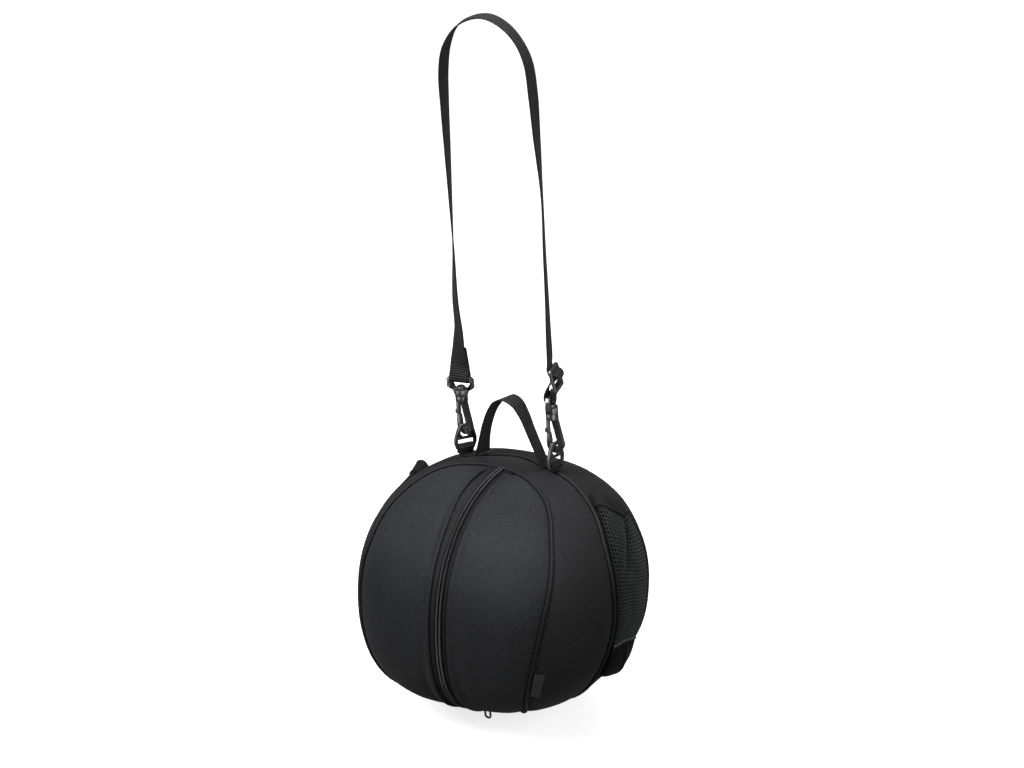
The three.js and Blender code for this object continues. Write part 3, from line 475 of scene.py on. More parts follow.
# %% [markdown]
# ## Cloth walls
# Each panel is a closed wall of cloth: an outer and an inner grid joined round the edge. The outer grid sinks
# towards its seams, puckers there where the thread draws the cloth up, and is dented a little by the
# ball. A cloth simulation could make such folds too. Sums of a few waves do it here, because tight cloth
# moves so little, and every run then gives the same folds.

# %% Cloth walls
CLOTH = 1.6


def run_length(points):
    """Distance along the first axis of a grid of points."""
    steps = np.linalg.norm(np.diff(points, axis=0), axis=-1)
    return np.concatenate([np.zeros((1, *steps.shape[1:])), np.cumsum(steps, axis=0)])


def shade_points(piece, shares):
    """Stores painted shade on each point of a piece, from 0 to 1."""
    layer = piece.data.attributes.new("painted_shade", "FLOAT", "POINT")
    layer.data.foreach_set("value", np.asarray(shares, dtype=np.float32).ravel())


def wall(name, outer, inner, finish, closed=False, painted_shade=None):
    """A closed sheet from two grids of points. The cloth map unrolls the outer grid."""
    n, m = outer.shape[:2]
    ring = np.concatenate([outer, outer[:1]]) if closed else outer
    along = run_length(ring)
    along = np.repeat(along.mean(axis=1, keepdims=True), m, axis=1)
    across = np.swapaxes(run_length(np.swapaxes(ring, 0, 1)), 0, 1)
    across = across - across[:, -1:] / 2
    flat = np.stack([across, along], -1) * MM
    faces, uv = [], []

    def quad(corners, layers):
        faces.append([layer * n * m + (i % n) * m + j for (i, j), layer in zip(corners, layers)])
        uv.extend(flat[i, j] for i, j in corners)

    rows = n if closed else n - 1
    for i in range(rows):
        for j in range(m - 1):
            square = [(i, j), (i, j + 1), (i + 1, j + 1), (i + 1, j)]
            quad(square, (0, 0, 0, 0))
            quad(square[::-1], (1, 1, 1, 1))
        quad([(i, 0), (i + 1, 0), (i + 1, 0), (i, 0)], (0, 0, 1, 1))
        quad([(i + 1, m - 1), (i, m - 1), (i, m - 1), (i + 1, m - 1)], (0, 0, 1, 1))
    if not closed:
        for j in range(m - 1):
            quad([(0, j + 1), (0, j), (0, j), (0, j + 1)], (0, 0, 1, 1))
            quad([(n - 1, j), (n - 1, j + 1), (n - 1, j + 1), (n - 1, j)], (0, 0, 1, 1))
    points = np.concatenate([outer.reshape(-1, 3), inner.reshape(-1, 3)])
    piece = new_piece(name, points, faces, finish, uv)
    if painted_shade is not None:
        shade_points(piece, np.stack([painted_shade, painted_shade]))
    return piece


print("cloth walls are", CLOTH, "mm thick")

# %% Seams and dents
DRAW_IN, DRAW_REACH, SEAM_DIP, DIP_REACH = 1.2, 9.0, 1.3, 2.6
PUCKER, PUCKER_PITCH, PUCKER_REACH = 0.3, 9.5, 6.0
DENT, RIPPLE, CALM_REACH = 0.8, 0.25, 22.0
PANEL_COLUMNS = 45


def seam_lift(edge, along):
    """How far the cloth lies off the body near a seam: drawn in, with small puckers along it."""
    pucker = np.sin(along * 2 * math.pi / PUCKER_PITCH + 1.3 * np.sin(along / 31))
    pucker = pucker * np.exp(-edge / PUCKER_REACH)
    drawn = DRAW_IN * np.exp(-(edge / DRAW_REACH) ** 2)
    return -drawn - SEAM_DIP * np.exp(-(edge / DIP_REACH) ** 2) + PUCKER * pucker


def dents(towards):
    """Slow shallow hollows and swells over the body: a few crossed waves."""
    x, y, z = towards[..., 0], towards[..., 1], towards[..., 2]
    slow = np.sin(3.1 * x + 1.7 * z + 0.4) * np.sin(2.9 * z - 2.1 * y) + 0.6 * np.sin(6.3 * x - 4.2 * z + 1.1)
    return DENT * slow + RIPPLE * np.sin(11 * x + 7 * z + 3 * y) * np.sin(9 * z - 8 * x)


def panel_grid(start, end, start_lift, end_lift):
    """Outer and inner grids of a panel between two lines of directions."""
    share = 0.5 - 0.5 * np.cos(np.linspace(0, math.pi, PANEL_COLUMNS))
    towards = start[:, None] * (1 - share[None, :, None]) + end[:, None] * share[None, :, None]
    towards /= np.linalg.norm(towards, axis=-1, keepdims=True)
    width = np.arccos(np.clip(np.sum(start * end, -1), -1, 1))[:, None] * HALVES[1]
    along = run_length(on_body(towards, 0 * towards[..., 0]))
    calm = 1 - np.exp(-(np.minimum(share, 1 - share)[None] * width / CALM_REACH) ** 2)
    lift = start_lift(share[None] * width, along) + end_lift((1 - share)[None] * width, along)
    lift = lift + dents(towards) * calm
    return on_body(towards, lift), on_body(towards, lift - CLOTH)


print("a seam draws the cloth in by", DRAW_IN + SEAM_DIP, "mm")

# %% [markdown]
# ## Front panels, band and back
# The two front panels are leaf shapes from the zip to the front seam. Along the zip the cloth is folded
# under, so that edge stands up as a soft lip over the tape. The band runs right round between the seams.
# Each is a grid between two lines on the body, so its rows end on the seams. The back is one bowl. Where
# its rings close at the pole they are all drawn to one point, and what lies behind a net gets painted shade.

# %% Front panels
ZIP_HALF, ZIP_TOP, ZIP_BOTTOM = 9.5, 87.3, -77.8
SPREAD, SPREAD_AT, SPREAD_REACH = 5.0, 68.0, 18.0
PANEL_TURN, PANEL_ROWS, PANEL_GAP = 86.0, 133, 0.35
LIP_STAND, LIP_AT, LIP_REACH = 1.3, 1.5, 4.0
VALLEY, VALLEY_AT = 0.9, 9.0
LIP_PULL, LIP_PULL_PITCH = 0.18, 12.0
LIP_END, LIP_SINK, SINK_REACH = 9.0, 1.4, 12.0


def zip_edge(hand, rise):
    """How far the tape's outer edge lies from the middle line: the left one swings out near the top."""
    spread = SPREAD * np.exp(-((rise - SPREAD_AT) / SPREAD_REACH) ** 2) if hand < 0 else 0 * rise
    return hand * (ZIP_HALF + spread)


def zip_lip(edge, along):
    """The folded edge beside the zip: a rounded lip, faintly pulled by its stitches, sunk at both ends."""
    pull = np.sin(along * 2 * math.pi / LIP_PULL_PITCH + 0.9 * np.sin(along / 23)) * np.exp(-edge / 5)
    lip = LIP_STAND * np.exp(-((edge - LIP_AT) / LIP_REACH) ** 2)
    lip = lip - VALLEY * np.exp(-((edge - VALLEY_AT) / LIP_REACH) ** 2) + LIP_PULL * pull
    end = np.exp(-(np.minimum(along, along[-1:] - along) / LIP_END) ** 2)
    return lip * (1 - end) - LIP_SINK * end * np.exp(-(edge / SINK_REACH) ** 2)


share = np.linspace(0, 1, PANEL_ROWS)
for name, hand in (("panel_front_left", -1), ("panel_front_right", 1)):
    turns = PANEL_TURN * (1 - 2 * share)
    around = turns if hand > 0 else 180 - turns
    rises = ZIP_TOP + (ZIP_BOTTOM - ZIP_TOP) * share
    start = zip_direction(rises, zip_edge(hand, rises) + hand * PANEL_GAP)
    end = direction(beside_seam("front", around, -SEAM_TUCK), around)
    piece = wall(f"{name}_cloth", *panel_grid(start, end, zip_lip, seam_lift), polyester)
    settle(piece, "polyester", name, held="stretched")

# %% Band and back
ROUND_ROWS = 288
round_turns = 90.0 - 360.0 * np.arange(ROUND_ROWS) / ROUND_ROWS
start = direction(beside_seam("front", round_turns, SEAM_TUCK), round_turns)
end = direction(beside_seam("back", round_turns, -SEAM_TUCK), round_turns)
band = wall("panel_band_cloth", *panel_grid(start, end, seam_lift, seam_lift), band_polyester, closed=True)
settle(band, "polyester", "panel_band", held="stretched")

NET_LOW, NET_HIGH, NET_REAR, NET_SHADOW = -14.0, 40.0, 108.0, 0.95
POLE_SPREAD, POLE_MERGE = 1e-4, 1e-6
start = direction(beside_seam("back", round_turns, SEAM_TUCK), round_turns)
end = np.repeat(np.array([[0.0, 1.0, 0.0]]), len(start), axis=0) + POLE_SPREAD * start
outer, inner = panel_grid(start, end, seam_lift, lambda edge, along: 0 * edge)
for grid in (outer, inner):
    grid[:, -1] = grid[:, -1].mean(axis=0)
side_turn = np.degrees(np.arctan2(outer[..., 2], np.abs(outer[..., 0])))
front_angle = np.degrees(np.arccos(np.clip(-outer[..., 1] / np.linalg.norm(outer, axis=-1), -1, 1)))
# The back cloth behind each net gets painted shade.
behind_net = (side_turn > NET_LOW) & (side_turn < NET_HIGH) & (front_angle < NET_REAR)
painted_shade = np.where(behind_net, NET_SHADOW, 0.0)
back = wall("panel_back_cloth", outer, inner, back_polyester, closed=True, painted_shade=painted_shade)
shape = bmesh.new()
shape.from_mesh(back.data)
bmesh.ops.remove_doubles(shape, verts=shape.verts, dist=POLE_MERGE)
shape.to_mesh(back.data)
shape.free()
settle(back, "polyester", "panel_back", held="stretched")

# %% [markdown]
# ## Piping
# Each seam holds a cord wrapped in cloth cut on the slant, which stands out as a rounded ridge. A curve
# with a round bevel could make it. A closed tube of points along the seam does it here, because it can
# swell slightly from stitch to stitch and carry a cloth map that is turned to the slant.

# %% Piping
PIPING_RADIUS, PIPING_LIFT, PIPING_ROWS, FACET_MM = 1.75, -0.7, 360, 0.8
STITCH_SWELL, SLOW_SWELL, STITCH_WAVE, SLOW_WAVE = 0.06, 0.05, 1.9, 0.37


def tube_round(name, line, radius, finish, sides=12):
    """A closed tube along a closed line on the body, with its cloth map unrolled."""
    n = len(line)
    along = np.roll(line, -1, axis=0) - np.roll(line, 1, axis=0)
    along /= np.linalg.norm(along, axis=-1, keepdims=True)
    out = out_of(line)
    across = np.cross(along, out)
    spin = 2 * math.pi * np.arange(sides) / sides
    reach = out[:, None] * np.cos(spin)[None, :, None] + across[:, None] * np.sin(spin)[None, :, None]
    points = (line[:, None] + reach * radius[:, None, None]).reshape(-1, 3)
    length = np.concatenate([[0], np.cumsum(np.linalg.norm(np.roll(line, -1, axis=0) - line, axis=-1))])
    faces, uv = [], []
    for i in range(n):
        for k in range(sides):
            nxt, kn = (i + 1) % n, (k + 1) % sides
            faces.append([i * sides + k, i * sides + kn, nxt * sides + kn, nxt * sides + k])
            for row, col in ((i, k), (i, k + 1), (i + 1, k + 1), (i + 1, k)):
                slant = col * FACET_MM
                uv.append(((length[row] + slant) * MM, (length[row] - slant) * MM))
    return new_piece(name, points, faces, finish, uv)


fine_turns = 90.0 - 360.0 * np.arange(PIPING_ROWS) / PIPING_ROWS
row_number = np.arange(PIPING_ROWS)
for seam in ("front", "back"):
    line = on_body(direction(seam_angle(seam, fine_turns), fine_turns), PIPING_LIFT + 0 * fine_turns)
    swell = PIPING_RADIUS + STITCH_SWELL * np.sin(row_number * STITCH_WAVE)
    swell = swell + SLOW_SWELL * np.sin(row_number * SLOW_WAVE)
    piece = tube_round(f"piping_{seam}_cord", line, swell, piping_cloth)
    settle(piece, "polyester", f"piping_{seam}")

# %% [markdown]
# ## Stitches and zip teeth by rule
# A sewn line is one stitch repeated at a set spacing along a path, so Geometry Nodes make it: a path with the
# surface's normal stored on it becomes a curve, is cut to equal steps, and gets a small rounded stitch
# on each step, turned along the path. The zip's teeth are the same rule with a longer, crosswise bead.

# %% A tree for stitches and teeth
def new_tree(name, sockets):
    """An empty geometry tree with named inputs, and its input and output nodes."""
    tree = bpy.data.node_groups.new(name, "GeometryNodeTree")
    tree.interface.new_socket(name="Geometry", in_out="INPUT", socket_type="NodeSocketGeometry")
    for label, kind in sockets:
        tree.interface.new_socket(name=label, in_out="INPUT", socket_type=kind)
    tree.interface.new_socket(name="Geometry", in_out="OUTPUT", socket_type="NodeSocketGeometry")
    return tree, add_node(tree, "NodeGroupInput"), tree.nodes.new("NodeGroupOutput")


sew, given, result = new_tree("stitch_run", [
    ("Pitch", "NodeSocketFloat"), ("Size", "NodeSocketVector"), ("Material", "NodeSocketMaterial")])
path = add_node(sew, "GeometryNodeMeshToCurve", {"Mesh": given.outputs["Geometry"]})
steps = add_node(sew, "GeometryNodeResampleCurve", {
    "Curve": path.outputs["Curve"], "Length": given.outputs["Pitch"]}, mode="LENGTH")
ahead = add_node(sew, "GeometryNodeInputTangent")
outward = add_node(sew, "GeometryNodeInputNamedAttribute", {"Name": "out"}, data_type="FLOAT_VECTOR")
facing = add_node(sew, "FunctionNodeAlignRotationToVector", {"Vector": ahead.outputs["Tangent"]}, axis="Y")
stood = add_node(sew, "FunctionNodeAlignRotationToVector", {
    "Rotation": facing.outputs["Rotation"], "Vector": outward.outputs["Attribute"]}, axis="Z", pivot_axis="Y")
bead = add_node(sew, "GeometryNodeMeshUVSphere", {"Segments": 8, "Rings": 5, "Radius": 0.5})
laid = add_node(sew, "GeometryNodeInstanceOnPoints", {
    "Points": steps.outputs["Curve"], "Instance": bead.outputs["Mesh"],
    "Rotation": stood.outputs["Rotation"], "Scale": given.outputs["Size"]})
real = add_node(sew, "GeometryNodeRealizeInstances", {"Geometry": laid.outputs["Instances"]})
smooth = add_node(sew, "GeometryNodeSetShadeSmooth", {"Geometry": real.outputs["Geometry"]})
dyed = add_node(sew, "GeometryNodeSetMaterial", {
    "Geometry": smooth.outputs["Geometry"], "Material": given.outputs["Material"]})
sew.links.new(dyed.outputs["Geometry"], result.inputs["Geometry"])
print("stitch tree:", len(sew.nodes), "nodes")


# %% Sewing along lines
def grown(name, source, tree, values):
    """Runs a geometry tree on a source object and keeps the result as a plain mesh object."""
    change = source.modifiers.new("grow", "NODES")
    change.node_group = tree
    for item in tree.interface.items_tree:
        if item.item_type == "SOCKET" and item.in_out == "INPUT" and item.name in values:
            change[item.identifier] = values[item.name]
    return placed(name, kept_mesh(name, source))


def sewn(name, lines, pitch_mm, size_mm, finish):
    """Stitches along lines, each a pair: points in millimetres from the bag's middle, and normals."""
    points = np.concatenate([line for line, _ in lines])
    outs = np.concatenate([out for _, out in lines])
    edges, first = [], 0
    for line, _ in lines:
        edges += [(first + i, first + i + 1) for i in range(len(line) - 1)]
        first += len(line)
    mesh = bpy.data.meshes.new(f"{name}_path")
    mesh.from_pydata(((points + BAG) * MM).tolist(), edges, [])
    outward = mesh.attributes.new("out", "FLOAT_VECTOR", "POINT")
    outward.data.foreach_set("vector", outs.astype(np.float32).ravel())
    source = placed(f"{name}_path", mesh)
    size = [side * MM for side in size_mm]
    return grown(name, source, sew, {"Pitch": pitch_mm * MM, "Size": size, "Material": finish})


taken = [item.name for item in sew.interface.items_tree if item.in_out == "INPUT"]
print("inputs of a sewn line:", taken)

# %% [markdown]
# ## The zip
# Two woven tapes lie sunk between the panels' lips and run on under them. On each tape's edge runs half of
# the nylon coil: a ridge of fine crosswise beads, so the closed zip shows two bright ridges with a dark line
# between them. Each tape has a low fold beside the coil. The groove under the coil, and the right tape's
# outer part under the right lip, get painted shade.

# %% Zip tapes
TAPE_TOP, TAPE_BOTTOM, ZIP_ROWS = 88.7, -80.7, 125
rises = np.linspace(TAPE_TOP, TAPE_BOTTOM, ZIP_ROWS)
TAPE_LIFT, TAPE_THICK, TAPE_STEPS = -1.6, 0.7, 24
TAPE_TUCK, TAPE_MEET, TUCK_RISE = 4.0, 0.1, 0.8
TAPE_FOLD, TAPE_FOLD_OFF, TAPE_FOLD_REACH = 0.7, 6.6, 1.7
GROOVE_DIP, GROOVE_REACH, GROOVE_HALF, GROOVE_SHADE = 1.4, 4.2, 4.6, 0.95
EDGE_SHADE, EDGE_SHADE_FROM, EDGE_SHADE_FADE = 0.85, 5.0, 2.0
for name, hand in (("zip_tape_left", -1), ("zip_tape_right", 1)):
    share = np.linspace(0, 1, TAPE_STEPS)[None]
    edge = zip_edge(hand, rises)[:, None]
    across = (edge + hand * TAPE_TUCK) * (1 - share) - hand * TAPE_MEET * share
    under = np.clip((np.abs(across) - np.abs(edge)) / TAPE_TUCK, 0, 1)
    towards = np.stack([zip_direction(rises, across[:, k]) for k in range(TAPE_STEPS)], axis=1)
    fold = TAPE_FOLD * np.exp(-((np.abs(across) - TAPE_FOLD_OFF) / TAPE_FOLD_REACH) ** 2)
    lift = TAPE_LIFT + fold - GROOVE_DIP * np.exp(-(across / GROOVE_REACH) ** 4) + TUCK_RISE * under
    # Painted shade in the groove under the coil and, on the right tape, under the right lip.
    painted_shade = GROOVE_SHADE * np.exp(-(across / GROOVE_HALF) ** 6)
    if hand > 0:
        beside = np.clip((across - EDGE_SHADE_FROM) / EDGE_SHADE_FADE, 0, 1)
        painted_shade = np.maximum(painted_shade, EDGE_SHADE * beside)
    outer, inner = on_body(towards, lift), on_body(towards, lift - TAPE_THICK)
    piece = wall(f"{name}_cloth", outer, inner, tape_cloth, painted_shade=painted_shade)
    settle(piece, "zip_tape", name, held="stretched")

# %% Zip teeth and stitches
COIL_ROW, COIL_LIFT, COIL_PITCH, COIL_BEAD = 1.8, -0.7, 1.6, (2.1, 1.3, 2.6)
ZIP_STITCH_PITCH, ZIP_STITCH = 4.2, (0.75, 3.0, 0.6)
teeth = []
for x in (-COIL_ROW, COIL_ROW):
    line = on_body(zip_direction(rises, x), COIL_LIFT + 0 * rises)
    teeth.append((line, out_of(line)))
coil = sewn("zip_coil_teeth", teeth, COIL_PITCH, COIL_BEAD, nylon)
settle(coil, "zip_tape", "zip_coil")

LIP_STITCH_OFF, LIP_STITCH_LIFT, LIP_STITCH_STOP = 2.6, 1.25, 8.0
TAPE_STITCH_OFF, TAPE_STITCH_LIFT = -1.5, TAPE_LIFT + 0.15
lip_rises = np.linspace(ZIP_TOP - LIP_STITCH_STOP, ZIP_BOTTOM + LIP_STITCH_STOP, ZIP_ROWS)
seams_beside = []
for hand in (-1, 1):
    for along, off, lift in (
            (lip_rises, LIP_STITCH_OFF, LIP_STITCH_LIFT), (rises, TAPE_STITCH_OFF, TAPE_STITCH_LIFT)):
        line = on_body(zip_direction(along, zip_edge(hand, along) + hand * off), lift + 0 * along)
        seams_beside.append((line, out_of(line)))
stitches = sewn("zip_stitches", seams_beside, ZIP_STITCH_PITCH, ZIP_STITCH, thread)
settle(stitches, "polyester")

# %% [markdown]
# ## Side pockets
# A pocket is net above and cloth below, gathered to a waist between them, with a folded hem at its rim. Its
# net is knitted in six-sided holes. Geometry Nodes turn an even grid into such cells and take each cell's
# middle out, so the holes are real and the back panel shows through. A folded strip covers the waist, its
# paler colour a painted highlight, and a bound edge closes the rear. Real cells are about 3 mm: here they are
# drawn at about 4 mm to show.

# %% Pocket lines
POCKET_REAR, HEM_TURN = 110.0, 5.0
POCKETS = {
    "left": {"hand": -1, "lift": 0.5, "rim": 49.0, "net": 0.2, "gape": 8.0, "tightness": 12.0},
    "right": {"hand": 1, "lift": 0.8, "rim": 50.0, "net": 1.2, "gape": 8.5, "tightness": 3.0},
}
RIM_FALL, RIM_FLAT = 10.0, 0.75
WAIST_FRONT, WAIST_FALL = -11.5, 14.0
FOOT_FRONT, FOOT_FALL = -25.0, 10.0


def pocket_rim(pocket, share):
    """The rim's turn: highest at the seam, falling to the rear."""
    return pocket["rim"] - RIM_FALL * np.sin(math.pi / 2 * np.minimum(1, share / RIM_FLAT))


def hem_foot(pocket, share):
    """The turn of the line where the hem is sewn to the net."""
    return pocket_rim(pocket, share) - HEM_TURN


def pocket_waist(pocket, share):
    """The turn of the line where the net is sewn to the cloth base."""
    return WAIST_FRONT - WAIST_FALL * share ** 2


def pocket_foot(pocket, share):
    """The turn of the base's lower edge."""
    return FOOT_FRONT - FOOT_FALL * np.sqrt(share)


print("pocket's rim at the seam:", POCKETS["right"]["rim"], "degrees of turn, rear at", POCKET_REAR)

# %% Pocket surface
BASE_STAND, BASE_UP, BASE_SHARE = 6.5, 0.6, 0.7
FOLD_AT, FOLD_TURN, FOLD_SLANT, FOLD_DEPTH, FOLD_WIDTH = 0.29, 19.7, 0.0255, 3.5, 0.09
FOLD_FROM, FOLD_FADE = 12.0, 16.0
PLEAT_AT, PLEAT_WIDTH, PLEAT_STAND = 0.33, 0.03, 1.6
GATHER, GATHER_REACH, POCKET_RIPPLE = 0.6, 4.0, 0.35


def pocket_stand(pocket, share, turn):
    """How far the pocket stands off the body: a low bulge in the base, a tight waist and a gaping rim."""
    foot, waist, rim = (line(pocket, share) for line in (pocket_foot, pocket_waist, pocket_rim))
    low = np.clip((turn - foot) / (waist - foot), 0, 1)
    base = BASE_STAND * np.sin(math.pi * low ** BASE_UP) * np.sin(math.pi * share ** BASE_SHARE)
    base = base + PLEAT_STAND * np.sin(math.pi * low) * np.exp(-((share - PLEAT_AT) / PLEAT_WIDTH) ** 2)
    high = np.clip((turn - waist) / (rim - waist), 0, 1)
    fade = np.clip((turn - FOLD_FROM) / FOLD_FADE, 0, 1)
    fold_at = FOLD_AT + FOLD_SLANT * (turn - FOLD_TURN)
    fold = FOLD_DEPTH * fade * fade * (3 - 2 * fade) * np.exp(-((share - fold_at) / FOLD_WIDTH) ** 2)
    swell = pocket["net"] * np.sin(math.pi * high) + pocket["gape"] * high ** pocket["tightness"]
    return np.maximum(0, np.where(turn < waist, base, swell * np.sin(math.pi * np.sqrt(share)) - fold))


def pocket_points(pocket, share, turn, extra):
    """Points on a pocket's inner side and an extra lift. Gathers and ripples are waves."""
    share = np.clip(share, 0, 1)
    free = np.sin(math.pi * share)
    waist = np.exp(-((turn - pocket_waist(pocket, share)) / GATHER_REACH) ** 2)
    gather = GATHER * np.sin(share * 55 + 0.6 * np.sin(share * 21)) * waist * free
    ripple = POCKET_RIPPLE * np.sin(share * 15 + turn * 0.13) * np.sin(turn * 0.21 + 1.0) * free
    lift = pocket["lift"] + np.maximum(0, pocket_stand(pocket, share, turn) + ripple + gather) + extra
    around = turn if pocket["hand"] > 0 else 180 - turn
    start = beside_seam("back", around, SEAM_EDGE)
    return on_body(direction(start + (POCKET_REAR - start) * share, around), lift)


print("the base stands", BASE_STAND, "mm off the body, and the rim gapes by",
      POCKETS["right"]["gape"], "mm")

# %% A tree for the net
knit, given, result = new_tree("net_of_cells", [
    ("Opening", "NodeSocketFloat"), ("Material", "NodeSocketMaterial")])
split = add_node(knit, "GeometryNodeTriangulate", {"Mesh": given.outputs["Geometry"]})
cells = add_node(knit, "GeometryNodeDualMesh", {"Mesh": split.outputs["Mesh"]})
rims = add_node(knit, "GeometryNodeExtrudeMesh", {
    "Mesh": cells.outputs["Dual Mesh"], "Offset Scale": 0.0, "Individual": True}, mode="FACES")
holes = add_node(knit, "GeometryNodeScaleElements", {
    "Geometry": rims.outputs["Mesh"], "Selection": rims.outputs["Top"],
    "Scale": given.outputs["Opening"]}, domain="FACE")
cut = add_node(knit, "GeometryNodeDeleteGeometry", {
    "Geometry": holes.outputs["Geometry"], "Selection": rims.outputs["Top"]}, domain="FACE")
real = add_node(knit, "GeometryNodeRealizeInstances", {"Geometry": cut.outputs["Geometry"]})
dyed = add_node(knit, "GeometryNodeSetMaterial", {
    "Geometry": real.outputs["Geometry"], "Material": given.outputs["Material"]})
knit.links.new(dyed.outputs["Geometry"], result.inputs["Geometry"])
print("net tree:", len(knit.nodes), "nodes")

# %% Pockets
NET_THICK, BASE_THICK, HEM_THICK = 0.9, 1.6, 2.4
NET_ACROSS, NET_UP, NET_OPENING, NET_LIFT, NET_OVERLAP = 22, 38, 0.77, 0.5, 0.8
# CLOTH_SHADE, FOLD_SHADE, SEAM_SHADE and REAR_SHADE are shares of painted shade.
CLOTH_COLUMNS, BASE_ROWS, HEM_ROWS, CLOTH_SHADE = 61, 25, 9, 0.4
FOLD_SHADE, FOLD_SHADE_WIDTH = 0.8, 0.06
SEAM_SHADE, SEAM_SHADE_WIDTH, REAR_SHADE, REAR_SHADE_WIDTH = 0.45, 0.1, 0.5, 0.08


def pocket_spread(pocket, low, high, columns, rows):
    """A grid of places on a pocket between two lines of turn: share from seam to rear, and turn."""
    share, height = np.meshgrid(np.linspace(0, 1, columns), np.linspace(0, 1, rows), indexing="ij")
    return share, low(pocket, share) + (high(pocket, share) - low(pocket, share)) * height


def net_painted_shade(share, turn):
    """The net's painted shade: beside the seam, in its slanting fold and at its rear edge."""
    fade = np.clip((turn - FOLD_FROM) / FOLD_FADE, 0, 1)
    from_fold = share - FOLD_AT - FOLD_SLANT * (turn - FOLD_TURN)
    fold = FOLD_SHADE * fade * np.exp(-(from_fold / FOLD_SHADE_WIDTH) ** 2)
    seam = SEAM_SHADE * np.exp(-(share / SEAM_SHADE_WIDTH) ** 2)
    rear = REAR_SHADE * np.exp(-((1 - share) / REAR_SHADE_WIDTH) ** 2)
    return np.maximum(np.maximum(fold, seam), rear)


for word, pocket in POCKETS.items():
    for part, low, high, rows, thick, finish in (
            ("base", pocket_foot, pocket_waist, BASE_ROWS, BASE_THICK, base_polyester),
            ("hem", hem_foot, pocket_rim, HEM_ROWS, HEM_THICK, back_polyester)):
        share, turn = pocket_spread(pocket, low, high, CLOTH_COLUMNS, rows)
        outer, inner = (pocket_points(pocket, share, turn, extra) for extra in (thick, 0.0))
        # The base and hem carry painted shade all over.
        piece = wall(f"pocket_{part}_{word}_cloth", outer, inner, finish, painted_shade=CLOTH_SHADE + 0 * share)
        settle(piece, "polyester", f"pocket_{part}_{word}", held="stretched")

    share, turn = pocket_spread(
        pocket, pocket_waist, lambda p, s: hem_foot(p, s) + NET_OVERLAP, NET_ACROSS, NET_UP)
    grid = pocket_points(pocket, share, turn, NET_LIFT)
    squares = []
    for i in range(NET_ACROSS - 1):
        for j in range(NET_UP - 1):
            k = i * NET_UP + j
            squares.append([k, k + 1, k + NET_UP + 1, k + NET_UP])
    source = new_piece(f"pocket_grid_{word}", grid.reshape(-1, 3), squares, net_yarn)
    # Painted shade on the net: in its fold, beside the seam and at its rear edge.
    shade_points(source, net_painted_shade(share, turn))
    net = grown(f"pocket_mesh_{word}_net", source, knit, {"Opening": NET_OPENING, "Material": net_yarn})
    thicken = net.modifiers.new("yarn", "SOLIDIFY")
    thicken.thickness, thicken.offset = NET_THICK * MM, 0.0
    settle(net, "mesh", f"pocket_mesh_{word}", held="stretched")

# %% Pocket edges
EDGE_ROWS, EDGE_INSET, BINDING_ROWS, BINDING_THICK, WAIST_THICK = 90, 0.01, 80, 0.6, 0.5
HEM_STITCH_UP, HEM_STITCH_LIFT, HEM_STITCH_PITCH, HEM_STITCH = 0.6, 0.1, 4.0, (0.7, 2.8, 0.6)
BINDING = ((-0.9, 2.2), (-0.5, 3.0), (0.3, 3.2), (1.2, 2.8), (1.7, 0.3))
WAIST_BINDING = ((-0.6, 1.2), (-0.35, 2.2), (0.0, 2.5), (0.35, 2.2), (0.6, 1.2))
for word, pocket in POCKETS.items():
    turns = np.linspace(pocket_foot(pocket, 1.0), pocket_rim(pocket, 1.0), BINDING_ROWS)
    around = turns if pocket["hand"] > 0 else 180 - turns
    rows = np.stack([on_body(direction(POCKET_REAR + off + 0 * turns, around), lift + 0 * turns)
                     for off, lift in BINDING], axis=1)
    binding = wall(f"pocket_binding_{word}", rows, rows - BINDING_THICK * out_of(rows), piping_cloth)
    settle(binding, "polyester", held="stretched")
    share = np.linspace(EDGE_INSET, 1 - EDGE_INSET, EDGE_ROWS)
    rows = np.stack([pocket_points(pocket, share, pocket_waist(pocket, share) + off, lift)
                     for off, lift in WAIST_BINDING], axis=1)
    # The waist strip's pale colour is a painted highlight.
    waist = wall(f"pocket_waist_{word}", rows, rows - WAIST_THICK * out_of(rows), binding_with_painted_highlight)
    settle(waist, "polyester", held="stretched")
    line = pocket_points(pocket, share, hem_foot(pocket, share) + HEM_STITCH_UP, HEM_THICK + HEM_STITCH_LIFT)
    row = sewn(f"pocket_stitches_{word}", [(line, out_of(line))], HEM_STITCH_PITCH, HEM_STITCH, thread)
    settle(row, "polyester")

# %% [markdown]
# ## Webbing: handle, tabs and strap
# All webbing is one kind of ribbon: a flat band with rounded edges that follows a line and turns its width to
# a given compass direction. The lines repeat the part's own rows, so the ribbons lie exactly where its
# solids are: sewn back at the left hook, over the arch, and through the adjuster to the right hook.

# %% Ribbons
WEBBING_HALF, WEBBING_THICK = 10.0, 1.5
RIBBON_ACROSS = np.array([-1, -0.985, -0.93, -0.6, -0.2, 0.2, 0.6, 0.93, 0.985, 1.0])
RIBBON_SWELL = np.array([0.12, 0.7, 1, 0.96, 0.94, 0.94, 0.96, 1, 0.7, 0.12])
UP = np.array([0.0, 0.0, 1.0])


def compass(turn):
    """A level unit vector at a compass turn in degrees."""
    turn = np.radians(turn)
    return np.stack([np.cos(turn), np.sin(turn), 0 * turn], -1)


